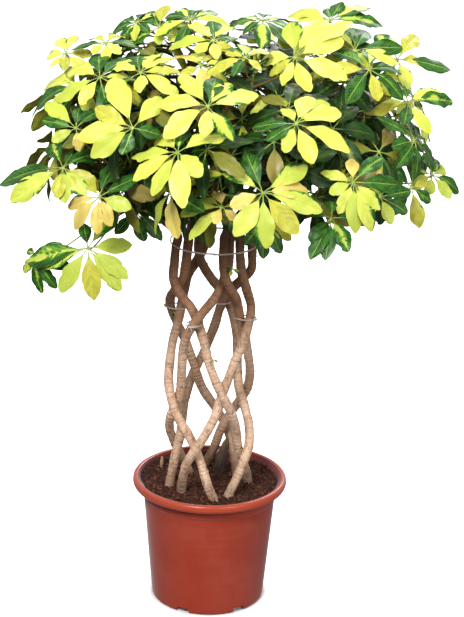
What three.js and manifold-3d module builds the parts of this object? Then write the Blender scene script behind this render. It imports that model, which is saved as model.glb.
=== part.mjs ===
// Potted umbrella plant: a dwarf schefflera whose eight stems are woven into an open
// lattice trunk, standing in a plastic nursery pot.
// Millimetres, +Z up. The origin is the centre of the pot's underside and the front faces -Y.
import * as THREE from 'three';
import { mergeVertices } from 'three/addons/utils/BufferGeometryUtils.js';
import Module from 'manifold-3d';

// ---------------------------------------------------------------- driving dimensions
const GAP = 0.3;                 // clearance between pieces that touch
const CLEAR = 0.35;              // clearance where one piece is cut back for another
const FINEST_DETAIL = 0.02;      // slivers thinner than this are closed up

// Pot
const POT_HEIGHT = 200;
const RIM_RADIUS = 120;
const RIM_INNER_RADIUS = 112;
const LIP_HEIGHT = 13;
const BODY_TOP_RADIUS = 102.5;
const BASE_RADIUS = 88;
const SHOULDER_HEIGHT = 17;      // the slightly wider band under the lip
const SHOULDER_STEP = 1.6;
const WALL = 2.2;
const FLOOR = 6;
const FOOT_RECESS = 2.5;         // depth of the ring groove in the underside
const FOOT_DISC_RADIUS = 60;     // of the flat middle of the underside
const FOOT_RIB_WIDTH = 5;        // of the ring that the pot stands on
const DRAIN_CUT_DEPTH = 20;
const ROUND_SEGMENTS = 32;
const DRAIN_COUNT = 6;
const DRAIN_WIDTH = 22;
const DRAIN_HEIGHT = 8;
const DRAIN_FIRST_AZIMUTH = -25;

// Soil
const SOIL_LEVEL = 185;
const SOIL_RELIEF = 1.44;
const SOIL_WAVES = { wide: 0.13, deep: 0.11, crossX: 0.31, crossY: 0.27, crossShare: 0.6 };
const SOIL_RINGS = [94, 78, 60, 38, 0];
const PLANTING_DEPTH = 50;       // how far each stem goes down into the soil

// Woven trunk: two families of four stems, one rising to the right, one to the left
const STEMS_PER_FAMILY = 4;
const TRUNK_RADIUS = 57.5;       // centre line of the weave
const WEAVE = 8.4;               // a stem passes this far outside or inside that line
const CROSSING_AZIMUTH = -22.5;  // of the lowest crossing in sight
const CROSSING_TURN = 45;        // a stem turns by this angle from one crossing to the next
const CROSSING_HEIGHTS = [153, 258, 347, 470, 533];   // woven by hand, so not evenly spaced
const LOWEST_IN_SIGHT = 1;       // the first of them is buried
const TURN_FADE = 12;            // the turning dies out over this height above the weave
const TRUNK_LEAN = 0.014;        // the trunk leans to the left above this height
const LEAN_FOOT = 100;
const NECK_HEIGHT = 470;         // above it the trunk narrows and leans back to the right
const NECK_NARROWING = 0.05;
const NECK_LEAN = 0.05;
const STEM_RADIUS_FOOT = 7.8;
const STEM_RADIUS_TOP = 7;
const BRANCH_RADIUS = 5;         // of a stem's second branch, where it forks off
const BRANCH_RADIUS_END = 3.6;
const STEM_SIDES = 6;
const STEM_STEPS = 25;
const TRUNK_POINTS = 22;

// Branching: each stem ends in a low outer branch and a steep upper one
const BEND_BELOW_SEAT = 66;      // the outer branch turns outwards this far below its end
const OUTER_LEAD = 36;           // straight run into the shoot
const UPPER_LEAD = 70;
const FORK_HEIGHTS = [560, 586]; // the upper branch leaves the stem between these
const SEAT_TURN = { right: 12, left: -18 };   // from the stem's own azimuth, by family
const UPPER_TURN = 22;
const OUTER_SEATS = {            // reach in parts of the crown's, height, rise for one step outwards
  right: { reach: 0.56, z: 684, rise: 0.8 },
  left: { reach: 0.56, z: 662, rise: 0.8 },
};
const UPPER_SEATS = {
  tall: { reach: 0.2, z: 806, rise: 2.6 },
  wide: { reach: 0.38, z: 782, rise: 1.5 },
};
const TAPER_FROM = 0.8;          // of a stem's length

// Crown
const CROWN = new THREE.Vector3(25, 0, 735);           // widest level of the crown
const CROWN_REACH = new THREE.Vector3(298, 255, 180);  // half axes of the leaf-hub dome
const CROWN_DROP = 135;                                // half height below the widest level
const SHOOT_LENGTH = 52;
const SHOOT_RADIUS = 3.1;
const SHOOT_TAPER = 0.6;         // its end, against its start
const PETIOLES_FROM = 0.2;       // petioles leave the shoot from here, of its length
const PETIOLES_OVER = 0.75;      // and over this much of it

// Leaves
const BLADE_THICKNESS = 1.4;
const PETIOLE_RADIUS = 1.3;
const PETIOLE_STEPS = 3;
const PETIOLE_ARCH = 0.4;          // its bend lies this far below the hub, of its span
const LEAFLET_HALF_WIDTH = 0.175;  // of the leaf's radius
const FULL_WIDTH_PITCH = 43;       // leaflets set closer than this many degrees are narrower
const NOTCH_RADIUS = 0.18;         // of the leaf's radius
const SHOULDER_AT = 0.56;          // of a leaflet's length
const LEAF_DROOP = 0.3;            // fall at the tip, of the leaf's radius
const LEAF_SEED = 7000;
const LEAF_VARIATION = { droop: 0.08, angle: 3, length: 0.1 };
const FACING_BLEND = { outward: 0.5, up: 0.42, ahead: 0.2 };
const LEAF_ROLL = 25;              // leaves by the rule turn this way and lie like shingles

// The leaves that show at the front, as seen: x, y, z of the hub, the way the leaf faces
// (degrees to the right and up), direction of one leaflet (0 down, 90 right), leaflets, radius
const FRONT_LEAVES = [
  [-168, -88, 850, -15, 60, 115, 8, 66],
  [-115, -196, 806, 5, 35, 70, 7, 64],
  [-198, -138, 788, 5, 40, 15, 7, 48],
  [-224, 10, 861, -30, 55, 20, 7, 50],
  [-165, -10, 883, -15, 70, 15, 7, 44],
  [-123, 60, 900, -40, 65, 30, 8, 42],
  [-89, 40, 897, -25, 57, 10, 8, 58],
  [-9, -58, 901, 0, 62, 5, 8, 50],
  [-109, -112, 864, -30, 60, 15, 8, 64],
  [-12, -204, 841, 0, 55, 355, 8, 68],
  [-51, -240, 785, -25, 60, 355, 8, 70],
  [62, 40, 912, 5, 80, 355, 8, 58],
  [38, -128, 893, 10, 70, 350, 7, 48],
  [108, -92, 888, -20, 45, 30, 9, 70],
  [109, -208, 821, 5, 55, 340, 9, 62],
  [160, 30, 916, -10, 55, 340, 8, 68],
  [195, -40, 888, -5, 55, 350, 9, 60],
  [259, 0, 867, 5, 50, 20, 8, 66],
  [213, -90, 872, 25, 55, 0, 7, 62],
  [273, -56, 817, 5, 60, 355, 8, 60],
  [282, -90, 770, 60, 40, 355, 7, 58],
  [315, -44, 707, 30, 40, 330, 8, 46],
  [-216, -140, 731, -20, 50, 340, 9, 64],
  [-161, -186, 703, -30, 35, 5, 8, 56],
  [-180, -150, 616, -5, 35, 0, 9, 70],
  [66, -252, 735, 5, 35, 355, 9, 70],
  [11, -232, 706, 0, 65, 5, 7, 48],
  [190, -212, 741, 10, 40, 310, 9, 54],
  [163, -198, 684, 5, 60, 15, 7, 56],
  [232, -160, 706, 15, 40, 350, 8, 50],
  [-257, -120, 595, -30, 25, 350, 6, 42],
  [-44, 20, 914, -10, 67, 355, 8, 52],
  [281, -100, 703, 20, 35, 5, 7, 54],
  [-202, -50, 828, -35, 50, 5, 7, 70],
  [-114, -100, 659, -10, 30, 5, 7, 44],
  [70, -150, 662, 5, 40, 340, 7, 42],
  [-25, -100, 874, 0, 70, 0, 7, 54],
];

// The other outer leaves and the ones inside the crown follow a golden-angle spiral
const GOLDEN_ANGLE = Math.PI * (3 - Math.sqrt(5));
const RULE_VARIATION = { turn: 0.12, radius: 8 };
const OUTER_RULE = {
  seed: 100, count: 66, top: 0.97, bottom: -0.62, scale: 1, layer: 17, radius: 70, spacing: 70,
  bare: [36, 57, 60],            // the crown has no leaf in these places
};
const INNER_RULE = {
  seed: 300, count: 11, top: 0.7, bottom: -0.85, scale: 0.6, layer: 8, radius: 62, spacing: 58,
  bare: [],
};

// Ties round the crossings at one level of the lattice, and one band round its top
const TIE_LEVEL = CROSSING_HEIGHTS[3];
const TIE_HEIGHT = 2.6;
const TIE_THICKNESS = 1.2;
const TIE_SLACK = { out: 1.06, along: 1.42 };   // room inside a tie, against the stems' size
const BAND_LEVEL = 583;
const BAND_HEIGHT = 3;
const BAND_SNUG = 1.9;           // it presses in this far past the trunk's widest line
const BAND_RADIUS = TRUNK_RADIUS - NECK_NARROWING * (BAND_LEVEL - NECK_HEIGHT)
  + WEAVE + STEM_RADIUS_TOP - BAND_SNUG;

// A dry fallen leaf stands stuck in the soil behind the trunk
const DRY_LEAF_FOOT = new THREE.Vector3(12, 34, SOIL_LEVEL);
const DRY_LEAF_LENGTH = 62;
const DRY_LEAF_WIDTH = 19;
const DRY_LEAF_DEPTH = 9;        // how far it is stuck in
const DRY_LEAF_LEAN = 13;
const DRY_LEAF_FOOT_WIDTH = 6;
const DRY_LEAF_THICKNESS = 1.4;
const DRY_LEAF_CURL = 0.0035;
const DRY_LEAF_BELLY = { out: 1.7, up: 0.42 };   // control point of each side's curve

const BARK = new THREE.MeshStandardMaterial({ color: 0xc9a684, roughness: 0.85, metalness: 0 });
const FOLIAGE = new THREE.MeshStandardMaterial({ color: 0xb7bf55, roughness: 0.4, metalness: 0 });
const CLAY_PLASTIC = new THREE.MeshStandardMaterial({ color: 0xa5402f, roughness: 0.45, metalness: 0 });
const PEAT = new THREE.MeshStandardMaterial({ color: 0x3f261b, roughness: 0.95, metalness: 0 });
const STRING = new THREE.MeshStandardMaterial({ color: 0xd9cdb4, roughness: 0.8, metalness: 0 });
const DRY_LEAF = new THREE.MeshStandardMaterial({ color: 0x4c3a22, roughness: 0.9, metalness: 0 });

const wasm = await Module();
wasm.setup();
const plant = new THREE.Group();

// ---------------------------------------------------------------- helpers
const radians = THREE.MathUtils.degToRad;
const UP = new THREE.Vector3(0, 0, 1);

function point(x, y, z) {
  return new THREE.Vector3(x, y, z);
}

// A repeatable stream of numbers from 0 to 1 (mulberry32)
function seeded(seed) {
  let state = seed >>> 0;
  return () => {
    state = (state + 0x6d2b79f5) >>> 0;
    let mix = Math.imul(state ^ (state >>> 15), state | 1);
    mix ^= mix + Math.imul(mix ^ (mix >>> 7), mix | 61);
    return ((mix ^ (mix >>> 14)) >>> 0) / 4294967296;
  };
}

function spread(draw, amount) {
  return (2 * draw() - 1) * amount;
}

function toSolid(geometry) {
  const bare = geometry.clone();
  bare.deleteAttribute('normal');
  bare.deleteAttribute('uv');
  const welded = mergeVertices(bare, 1e-4);
  return new wasm.Manifold(new wasm.Mesh({
    numProp: 3,
    vertProperties: new Float32Array(welded.attributes.position.array),
    triVerts: new Uint32Array(welded.index.array),
  }));
}

function toGeometry(solid) {
  const mesh = solid.asOriginal().simplify(FINEST_DETAIL).getMesh();
  const geometry = new THREE.BufferGeometry();
  geometry.setAttribute('position', new THREE.BufferAttribute(mesh.vertProperties, 3));
  geometry.setIndex(new THREE.BufferAttribute(mesh.triVerts, 1));
  geometry.computeVertexNormals();
  return geometry;
}

function join(solids) {
  return solids.reduce((whole, solid) => whole.add(solid));
}

// The biggest connected body of a solid, without loose scraps
function mainBody(solid) {
  const bodies = solid.decompose();
  return bodies.reduce((best, body) => (body.volume() > best.volume() ? body : best));
}

function addMesh(name, geometry, material) {
  const mesh = new THREE.Mesh(geometry, material);
  mesh.name = name;
  plant.add(mesh);
}

// A round bar along a curve, whose radius follows its length
function tube(curve, steps, sides, radiusAt) {
  const ring = [];
  for (let i = 0; i < sides; i += 1) {
    const turn = (2 * Math.PI * i) / sides;
    ring.push(new THREE.Vector2(Math.cos(turn), Math.sin(turn)));
  }
  const options = { steps, extrudePath: curve, bevelEnabled: false };
  const geometry = new THREE.ExtrudeGeometry(new THREE.Shape(ring), options);
  const stations = curve.getSpacedPoints(steps);
  const position = geometry.attributes.position;
  const vertex = new THREE.Vector3();
  for (let i = 0; i < position.count; i += 1) {
    vertex.fromBufferAttribute(position, i);
    let nearest = 0;
    stations.forEach((station, s) => {
      if (vertex.distanceTo(station) < vertex.distanceTo(stations[nearest])) nearest = s;
    });
    vertex.sub(stations[nearest]).multiplyScalar(radiusAt(nearest / steps)).add(stations[nearest]);
    position.setXYZ(i, vertex.x, vertex.y, vertex.z);
  }
  return toSolid(geometry);
}

function taper(from, to, grow = 0) {
  return (t) => THREE.MathUtils.lerp(from, to, t) + grow;
}

// ---------------------------------------------------------------- pot
const SHOULDER_TOP = POT_HEIGHT - LIP_HEIGHT;
const SHOULDER_FOOT = SHOULDER_TOP - SHOULDER_HEIGHT;
const SHOULDER_RADIUS = BODY_TOP_RADIUS + SHOULDER_STEP;

function potProfile() {
  const outline = [
    [0, 0], [FOOT_DISC_RADIUS, 0], [FOOT_DISC_RADIUS + 2, FOOT_RECESS],
    [BASE_RADIUS - FOOT_RIB_WIDTH - 4, FOOT_RECESS], [BASE_RADIUS - FOOT_RIB_WIDTH - 2, 0],
    [BASE_RADIUS - 2, 0], [BASE_RADIUS, 2.5],
    [BODY_TOP_RADIUS, SHOULDER_FOOT - 1.5], [SHOULDER_RADIUS, SHOULDER_FOOT],
    [SHOULDER_RADIUS + 0.6, SHOULDER_TOP - 1],
    [RIM_RADIUS - 2, SHOULDER_TOP], [RIM_RADIUS, SHOULDER_TOP + 4],
    [RIM_RADIUS - 0.8, POT_HEIGHT - 2.2], [RIM_RADIUS - 3.6, POT_HEIGHT],
    [RIM_INNER_RADIUS, POT_HEIGHT - 0.4], [RIM_INNER_RADIUS - 3.5, POT_HEIGHT - 4],
    [SHOULDER_RADIUS - WALL, SHOULDER_TOP - 2], [BODY_TOP_RADIUS - WALL, SHOULDER_FOOT - 2],
    [BASE_RADIUS - WALL, FLOOR], [0, FLOOR],
  ];
  return outline.map(([radius, z]) => new THREE.Vector2(radius, z));
}

// A lathe turns about Y, so the result is stood up on +Z
function turned(profile) {
  const geometry = new THREE.LatheGeometry(profile, ROUND_SEGMENTS);
  geometry.rotateX(Math.PI / 2);
  return toSolid(geometry);
}

function drainCutter(azimuth) {
  const box = new THREE.BoxGeometry(DRAIN_WIDTH, DRAIN_CUT_DEPTH, DRAIN_HEIGHT + 2);
  box.translate(0, -BASE_RADIUS, DRAIN_HEIGHT / 2 - 1);
  box.rotateZ(radians(azimuth));
  return toSolid(box);
}

function makePot() {
  let pot = turned(potProfile());
  for (let i = 0; i < DRAIN_COUNT; i += 1) {
    pot = pot.subtract(drainCutter(DRAIN_FIRST_AZIMUTH + (360 * i) / DRAIN_COUNT));
  }
  addMesh('pot', toGeometry(pot), CLAY_PLASTIC);
}

// ---------------------------------------------------------------- stems
// How far a stem has turned at a height, counted from the lowest crossing in sight
function woundAt(z) {
  const knots = CROSSING_HEIGHTS;
  const last = knots.length - 1;
  const steepness = (k) => {
    const from = Math.max(k - 1, 0);
    const to = Math.min(k + 1, last);
    return (CROSSING_TURN * (to - from)) / (knots[to] - knots[from]);
  };
  const turnAt = (k) => CROSSING_TURN * (k - LOWEST_IN_SIGHT);
  if (z >= knots[last]) {
    const coast = TURN_FADE * (1 - Math.exp((knots[last] - z) / TURN_FADE));
    return turnAt(last) + steepness(last) * coast;
  }
  const k = Math.max(knots.findIndex((knot) => knot > z) - 1, 0);
  const rise = knots[k + 1] - knots[k];
  const t = (z - knots[k]) / rise;
  const blend = t * t * (3 - 2 * t);
  return turnAt(k) + CROSSING_TURN * blend
    + rise * t * (1 - t) * (steepness(k) * (1 - t) - steepness(k + 1) * t);
}

function aboveNeck(z) {
  return Math.max(z - NECK_HEIGHT, 0);
}

function trunkCentre(z) {
  return -TRUNK_LEAN * (z - LEAN_FOOT) + NECK_LEAN * aboveNeck(z);
}

function polar(azimuth, radius, z) {
  return point(radius * Math.sin(radians(azimuth)), -radius * Math.cos(radians(azimuth)), z);
}

function stemAzimuth(side, index, z) {
  return CROSSING_AZIMUTH + side * woundAt(z) + index * 90;
}

// Every stem winds round the trunk; side is +1 for the family that rises to the right
function trunkPoint(side, index, z) {
  const azimuth = stemAzimuth(side, index, z);
  const weave = side * WEAVE * Math.cos(radians(4 * (azimuth - CROSSING_AZIMUTH)));
  const spot = polar(azimuth, TRUNK_RADIUS + weave - NECK_NARROWING * aboveNeck(z), z);
  spot.x += trunkCentre(z);
  return spot;
}

// Where a stem's branch ends and its green shoot goes on, and in which direction
function shootSeat(azimuth, { reach, z, rise }) {
  const side = Math.sin(radians(azimuth));
  const front = -Math.cos(radians(azimuth));
  const seat = point(CROWN.x + CROWN_REACH.x * reach * side, CROWN_REACH.y * reach * front, z);
  return { seat, heading: point(side, front, rise).normalize() };
}

function makeBranching(side, index) {
  const turn = side > 0 ? SEAT_TURN.right : SEAT_TURN.left;
  const azimuth = stemAzimuth(side, index, FORK_HEIGHTS[1]) + turn;
  return {
    outer: shootSeat(azimuth, side > 0 ? OUTER_SEATS.right : OUTER_SEATS.left),
    upper: shootSeat(azimuth + UPPER_TURN, index % 2 === 0 ? UPPER_SEATS.tall : UPPER_SEATS.wide),
  };
}

// The last control points lie on the shoot's own line, so the branch runs straight into it
function runIn(branch, lead) {
  return [branch.seat.clone().addScaledVector(branch.heading, -lead), branch.seat.clone()];
}

function stemCurve(stem) {
  const foot = SOIL_LEVEL - PLANTING_DEPTH;
  const top = stem.outer.seat.z - BEND_BELOW_SEAT;
  const points = [];
  for (let i = 0; i <= TRUNK_POINTS; i += 1) {
    points.push(trunkPoint(stem.side, stem.index, foot + ((top - foot) * i) / TRUNK_POINTS));
  }
  return new THREE.CatmullRomCurve3([...points, ...runIn(stem.outer, OUTER_LEAD)]);
}

function makeStemSolid(stem, grow) {
  const thick = (t) => {
    const { lerp } = THREE.MathUtils;
    const woody = lerp(STEM_RADIUS_FOOT, STEM_RADIUS_TOP, Math.min(t / TAPER_FROM, 1));
    const tip = lerp(STEM_RADIUS_TOP, BRANCH_RADIUS_END, Math.max(t - TAPER_FROM, 0) / (1 - TAPER_FROM));
    return Math.min(woody, tip) + grow;
  };
  const main = tube(stemCurve(stem), STEM_STEPS, STEM_SIDES, thick);
  const fork = FORK_HEIGHTS.map((z) => trunkPoint(stem.side, stem.index, z));
  const rise = new THREE.CatmullRomCurve3([...fork, ...runIn(stem.upper, UPPER_LEAD)]);
  return main.add(tube(rise, 6, 5, taper(BRANCH_RADIUS, BRANCH_RADIUS_END, grow)));
}

const stems = [];
for (const side of [1, -1]) {
  for (let index = 0; index < STEMS_PER_FAMILY; index += 1) {
    stems.push({ side, index, ...makeBranching(side, index) });
  }
}

// ---------------------------------------------------------------- leaves
function domeNormal(hub) {
  const height = hub.z > CROWN.z ? CROWN_REACH.z : CROWN_DROP;
  return point(
    (hub.x - CROWN.x) / CROWN_REACH.x ** 2,
    hub.y / CROWN_REACH.y ** 2,
    (hub.z - CROWN.z) / height ** 2,
  ).normalize();
}

function ruleLeaves(rule, taken) {
  const leaves = [];
  for (let i = 0; i < rule.count; i += 1) {
    const draw = seeded(rule.seed + i);
    const height = THREE.MathUtils.lerp(rule.top, rule.bottom, (i + 0.5) / rule.count);
    const ring = Math.sqrt(1 - height * height);
    const turn = i * GOLDEN_ANGLE + spread(draw, RULE_VARIATION.turn);
    const tall = height > 0 ? CROWN_REACH.z : CROWN_DROP;
    const hub = point(
      CROWN.x + CROWN_REACH.x * rule.scale * ring * Math.sin(turn),
      -CROWN_REACH.y * rule.scale * ring * Math.cos(turn),
      CROWN.z + tall * rule.scale * height,
    );
    hub.addScaledVector(domeNormal(hub), -rule.layer * (i % 3));
    const spin = 360 * draw();
    const radius = rule.radius + spread(draw, RULE_VARIATION.radius);
    const free = taken.every((leaf) => leaf.hub.distanceTo(hub) > rule.spacing);
    if (free && !rule.bare.includes(i)) {
      leaves.push({ seed: rule.seed + i, hub, spin, leaflets: 6 + (i % 2), radius });
    }
  }
  return leaves;
}

function listedLeaves() {
  return FRONT_LEAVES.map(([x, y, z, turn, rise, spin, leaflets, radius], i) => (
    { seed: i, hub: point(x, y, z), facing: { turn, rise }, spin, leaflets, radius }
  ));
}

// A leaf's own axes: its upper side, the way it hangs, and the way across
function leafAxes(leaf, root) {
  const upper = new THREE.Vector3();
  if (leaf.facing) {
    upper.copy(polar(leaf.facing.turn, Math.cos(radians(leaf.facing.rise)), 0));
    upper.z = Math.sin(radians(leaf.facing.rise));
  } else {
    const stretch = leaf.hub.clone().sub(root).normalize();
    upper.addScaledVector(domeNormal(leaf.hub), FACING_BLEND.outward);
    upper.addScaledVector(UP, FACING_BLEND.up).addScaledVector(stretch, FACING_BLEND.ahead).normalize();
  }
  const down = UP.clone().negate().addScaledVector(upper, upper.z).normalize();
  if (!leaf.facing) upper.applyAxisAngle(down, radians(LEAF_ROLL));
  return { upper, down, across: upper.clone().cross(down) };
}

// The outline of the arched star: every leaflet is a notch, a shoulder, a tip and a shoulder
function bladeOutline(leaf, axes, grow) {
  const draw = seeded(LEAF_SEED + leaf.seed);
  const pitch = 360 / leaf.leaflets;
  const droop = LEAF_DROOP + spread(draw, LEAF_VARIATION.droop);
  const outline = [];
  const place = (along, sideways, angle) => {
    const turn = radians(angle);
    const right = along * Math.sin(turn) + sideways * Math.cos(turn);
    const low = along * Math.cos(turn) - sideways * Math.sin(turn);
    const fall = (droop * (along * along + sideways * sideways)) / leaf.radius;
    outline.push(leaf.hub.clone().addScaledVector(axes.across, right)
      .addScaledVector(axes.down, low).addScaledVector(axes.upper, -fall));
  };
  for (let i = 0; i < leaf.leaflets; i += 1) {
    const angle = leaf.spin + pitch * i + spread(draw, LEAF_VARIATION.angle);
    const length = leaf.radius * (1 + spread(draw, LEAF_VARIATION.length)) + grow;
    const half = leaf.radius * LEAFLET_HALF_WIDTH * Math.min(1, pitch / FULL_WIDTH_PITCH) + grow;
    place(leaf.radius * NOTCH_RADIUS + grow, 0, leaf.spin + pitch * (i - 0.5));
    place(length * SHOULDER_AT, -half, angle);
    place(length, 0, angle);
    place(length * SHOULDER_AT, half, angle);
  }
  return outline;
}

// Three-cornered sections of the petiole, which arches from the shoot to the hub from below.
// They are laid out from the hub downwards, each turned as little as possible from the last.
function petioleRings(leaf, root, axes, radius) {
  const reach = leaf.hub.distanceTo(root);
  const bend = leaf.hub.clone().addScaledVector(axes.upper, -PETIOLE_ARCH * reach);
  const end = leaf.hub.clone().addScaledVector(axes.upper, -BLADE_THICKNESS / 2);
  const curve = new THREE.QuadraticBezierCurve3(root, bend, end);
  const rings = [];
  const first = axes.across.clone();
  for (let s = PETIOLE_STEPS; s >= 0; s -= 1) {
    const centre = curve.getPoint(s / PETIOLE_STEPS);
    const tangent = s === PETIOLE_STEPS ? axes.upper : curve.getTangent(s / PETIOLE_STEPS);
    first.addScaledVector(tangent, -tangent.dot(first)).normalize();
    const second = tangent.clone().cross(first);
    rings.unshift([0, 1, 2].map((corner) => {
      const turn = (2 * Math.PI * corner) / 3;
      return centre.clone().addScaledVector(first, radius * Math.cos(turn))
        .addScaledVector(second, radius * Math.sin(turn));
    }));
  }
  return rings;
}

function meshSolid(points, faces) {
  const geometry = new THREE.BufferGeometry();
  const numbers = points.flatMap((p) => p.toArray());
  geometry.setAttribute('position', new THREE.Float32BufferAttribute(numbers, 3));
  geometry.setIndex(faces);
  return toSolid(geometry);
}

function ringFaces(rings, first, faces) {
  for (let s = 0; s < rings.length - 1; s += 1) {
    for (let i = 0; i < 3; i += 1) {
      const here = first + 3 * s;
      const next = (i + 1) % 3;
      faces.push(here + i, here + next, here + 3 + next);
      faces.push(here + i, here + 3 + next, here + 3 + i);
    }
  }
  faces.push(first, first + 2, first + 1);
}

function petioleSolid(leaf, root, axes, radius) {
  const rings = petioleRings(leaf, root, axes, radius);
  const faces = [];
  ringFaces(rings, 0, faces);
  const top = 3 * (rings.length - 1);
  faces.push(top, top + 1, top + 2);
  return meshSolid(rings.flat(), faces);
}

// One leaf in one closed mesh: the star blade, both faces split alike from the hub along
// every rib, and the petiole growing out of its underside. A fine blade runs out to nothing
// at its tips and notches.
function leafSolid(leaf, root, axes) {
  const outline = bladeOutline(leaf, axes, 0);
  const lift = axes.upper.clone().multiplyScalar(BLADE_THICKNESS / 2);
  const points = [leaf.hub.clone().add(lift)];
  const upper = [];
  const lower = [];
  outline.forEach((p, j) => {
    const shoulder = j % 2 === 1;
    upper.push(points.length);
    points.push(shoulder ? p.clone().add(lift) : p);
    if (shoulder) points.push(p.clone().sub(lift));
    lower.push(points.length - 1);
  });
  const rings = petioleRings(leaf, root, axes, PETIOLE_RADIUS);
  const base = points.length;
  points.push(...rings.flat());
  const top = base + 3 * (rings.length - 1);
  const faces = [];
  ringFaces(rings, base, faces);
  const corner = outline.map((p) => {
    const arm = p.clone().sub(leaf.hub);
    const turn = Math.atan2(-arm.dot(axes.down), arm.dot(axes.across));
    return top + ((Math.round((3 * turn) / (2 * Math.PI)) + 3) % 3);
  });
  outline.forEach((_, j) => {
    const next = (j + 1) % outline.length;
    faces.push(0, upper[j], upper[next]);
    faces.push(corner[j], lower[next], lower[j]);
    if (corner[j] !== corner[next]) faces.push(corner[j], corner[next], lower[next]);
    if (upper[next] !== lower[next]) faces.push(lower[j], lower[next], upper[next]);
    if (upper[j] !== lower[j]) faces.push(lower[j], upper[next], upper[j]);
  });
  return meshSolid(points, faces);
}

// The room that a blade needs: the same star, a little larger and thicker
function bladeRoom(leaf, axes) {
  const outline = bladeOutline(leaf, axes, 1.2 * CLEAR);
  const lift = axes.upper.clone().multiplyScalar(BLADE_THICKNESS / 2 + 1.3 * CLEAR);
  const star = [...outline, leaf.hub];
  const points = [...star.map((p) => p.clone().add(lift)), ...star.map((p) => p.clone().sub(lift))];
  const hub = outline.length;
  const under = star.length;
  const faces = [];
  outline.forEach((_, j) => {
    const next = (j + 1) % outline.length;
    faces.push(hub, j, next);
    faces.push(under + hub, under + next, under + j);
    faces.push(under + j, under + next, next);
    faces.push(under + j, next, j);
  });
  return meshSolid(points, faces);
}

function shootLine(shoot, from, to) {
  return new THREE.LineCurve3(
    shoot.seat.clone().addScaledVector(shoot.heading, from),
    shoot.seat.clone().addScaledVector(shoot.heading, to),
  );
}

// Each leaf grows from the nearest shoot; a shoot's leaves leave it one above the other
function shareLeaves(shoots, leaves) {
  shoots.forEach((shoot) => { shoot.leaves = []; });
  leaves.forEach((leaf) => {
    const apart = (shoot) => shootLine(shoot, 0, SHOOT_LENGTH).getPoint(0.5).distanceTo(leaf.hub);
    shoots.reduce((best, shoot) => (apart(shoot) < apart(best) ? shoot : best)).leaves.push(leaf);
  });
  shoots.forEach((shoot) => {
    shoot.leaves.sort((a, b) => a.hub.dot(shoot.heading) - b.hub.dot(shoot.heading));
  });
}

// A shoot's leaves and its stalks, and the room that its stalks and its blades need
function shootParts(shoot) {
  const bar = (grow) => {
    const line = shootLine(shoot, GAP - grow, SHOOT_LENGTH + grow);
    return tube(line, 1, 5, taper(SHOOT_RADIUS, SHOOT_RADIUS * SHOOT_TAPER, grow));
  };
  const leaves = [];
  const stalks = [bar(0)];
  const stalkRoom = [bar(CLEAR)];
  const bladeRooms = [];
  shoot.leaves.forEach((leaf, i) => {
    const share = PETIOLES_FROM + (PETIOLES_OVER * (i + 0.5)) / shoot.leaves.length;
    const height = share * SHOOT_LENGTH;
    const root = shootLine(shoot, 0, height).getPoint(1);
    const axes = leafAxes(leaf, root);
    leaves.push(leafSolid(leaf, root, axes));
    stalks.push(petioleSolid(leaf, root, axes, PETIOLE_RADIUS));
    stalkRoom.push(petioleSolid(leaf, root, axes, PETIOLE_RADIUS + 2 * CLEAR));
    bladeRooms.push(bladeRoom(leaf, axes));
  });
  return {
    leaves: join(leaves),
    stalks: join(stalks),
    stalkRoom: join(stalkRoom),
    bladesRoom: join(bladeRooms),
  };
}

// ---------------------------------------------------------------- soil
function soilProfile() {
  const wallRadius = (z) => THREE.MathUtils.mapLinear(
    z, FLOOR, SHOULDER_FOOT - 2, BASE_RADIUS - WALL, BODY_TOP_RADIUS - WALL,
  );
  const side = [
    [0, FLOOR + GAP], [wallRadius(FLOOR) - GAP - 0.2, FLOOR + GAP],
    [wallRadius(SHOULDER_FOOT - 2) - GAP - 0.2, SHOULDER_FOOT - 2],
    [SHOULDER_RADIUS - WALL - GAP - 0.2, SOIL_LEVEL - 3],
  ];
  const top = SOIL_RINGS.map((radius) => [radius, SOIL_LEVEL]);
  return [...side, ...top].map(([radius, z]) => new THREE.Vector2(radius, z));
}

// Low lumps that cross each other, from -1 to 1 and a little beyond
function soilLump(x, y) {
  const { wide, deep, crossX, crossY, crossShare } = SOIL_WAVES;
  return Math.sin(x * wide + 1) * Math.cos(y * deep) + crossShare * Math.sin(x * crossX - y * crossY);
}

function makeSoil(cutters) {
  const geometry = new THREE.LatheGeometry(soilProfile(), ROUND_SEGMENTS);
  geometry.rotateX(Math.PI / 2);
  const position = geometry.attributes.position;
  for (let i = 0; i < position.count; i += 1) {
    const lump = soilLump(position.getX(i), position.getY(i));
    if (position.getZ(i) > SOIL_LEVEL - 1) position.setZ(i, SOIL_LEVEL + SOIL_RELIEF * lump);
  }
  const soil = cutters.reduce((whole, cutter) => whole.subtract(cutter), toSolid(geometry));
  addMesh('soil', toGeometry(mainBody(soil)), PEAT);
}

// ---------------------------------------------------------------- small pieces
// A flat loop of string round two stems where they cross, cut clear of them
function makeTie(name, azimuth, wood) {
  const half = { out: TIE_SLACK.out * (WEAVE + STEM_RADIUS_FOOT), along: TIE_SLACK.along * STEM_RADIUS_FOOT };
  const shape = new THREE.Shape();
  shape.absellipse(0, 0, half.along + TIE_THICKNESS, half.out + TIE_THICKNESS, 0, 2 * Math.PI);
  const hole = new THREE.Path();
  hole.absellipse(0, 0, half.along, half.out, 0, 2 * Math.PI, true);
  shape.holes.push(hole);
  const options = { depth: TIE_HEIGHT, bevelEnabled: false, curveSegments: 6 };
  const loop = new THREE.ExtrudeGeometry(shape, options);
  loop.translate(0, -TRUNK_RADIUS, TIE_LEVEL - TIE_HEIGHT / 2);
  loop.rotateZ(radians(azimuth));
  loop.translate(trunkCentre(TIE_LEVEL), 0, 0);
  addMesh(name, toGeometry(mainBody(toSolid(loop).subtract(wood))), STRING);
}

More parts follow.
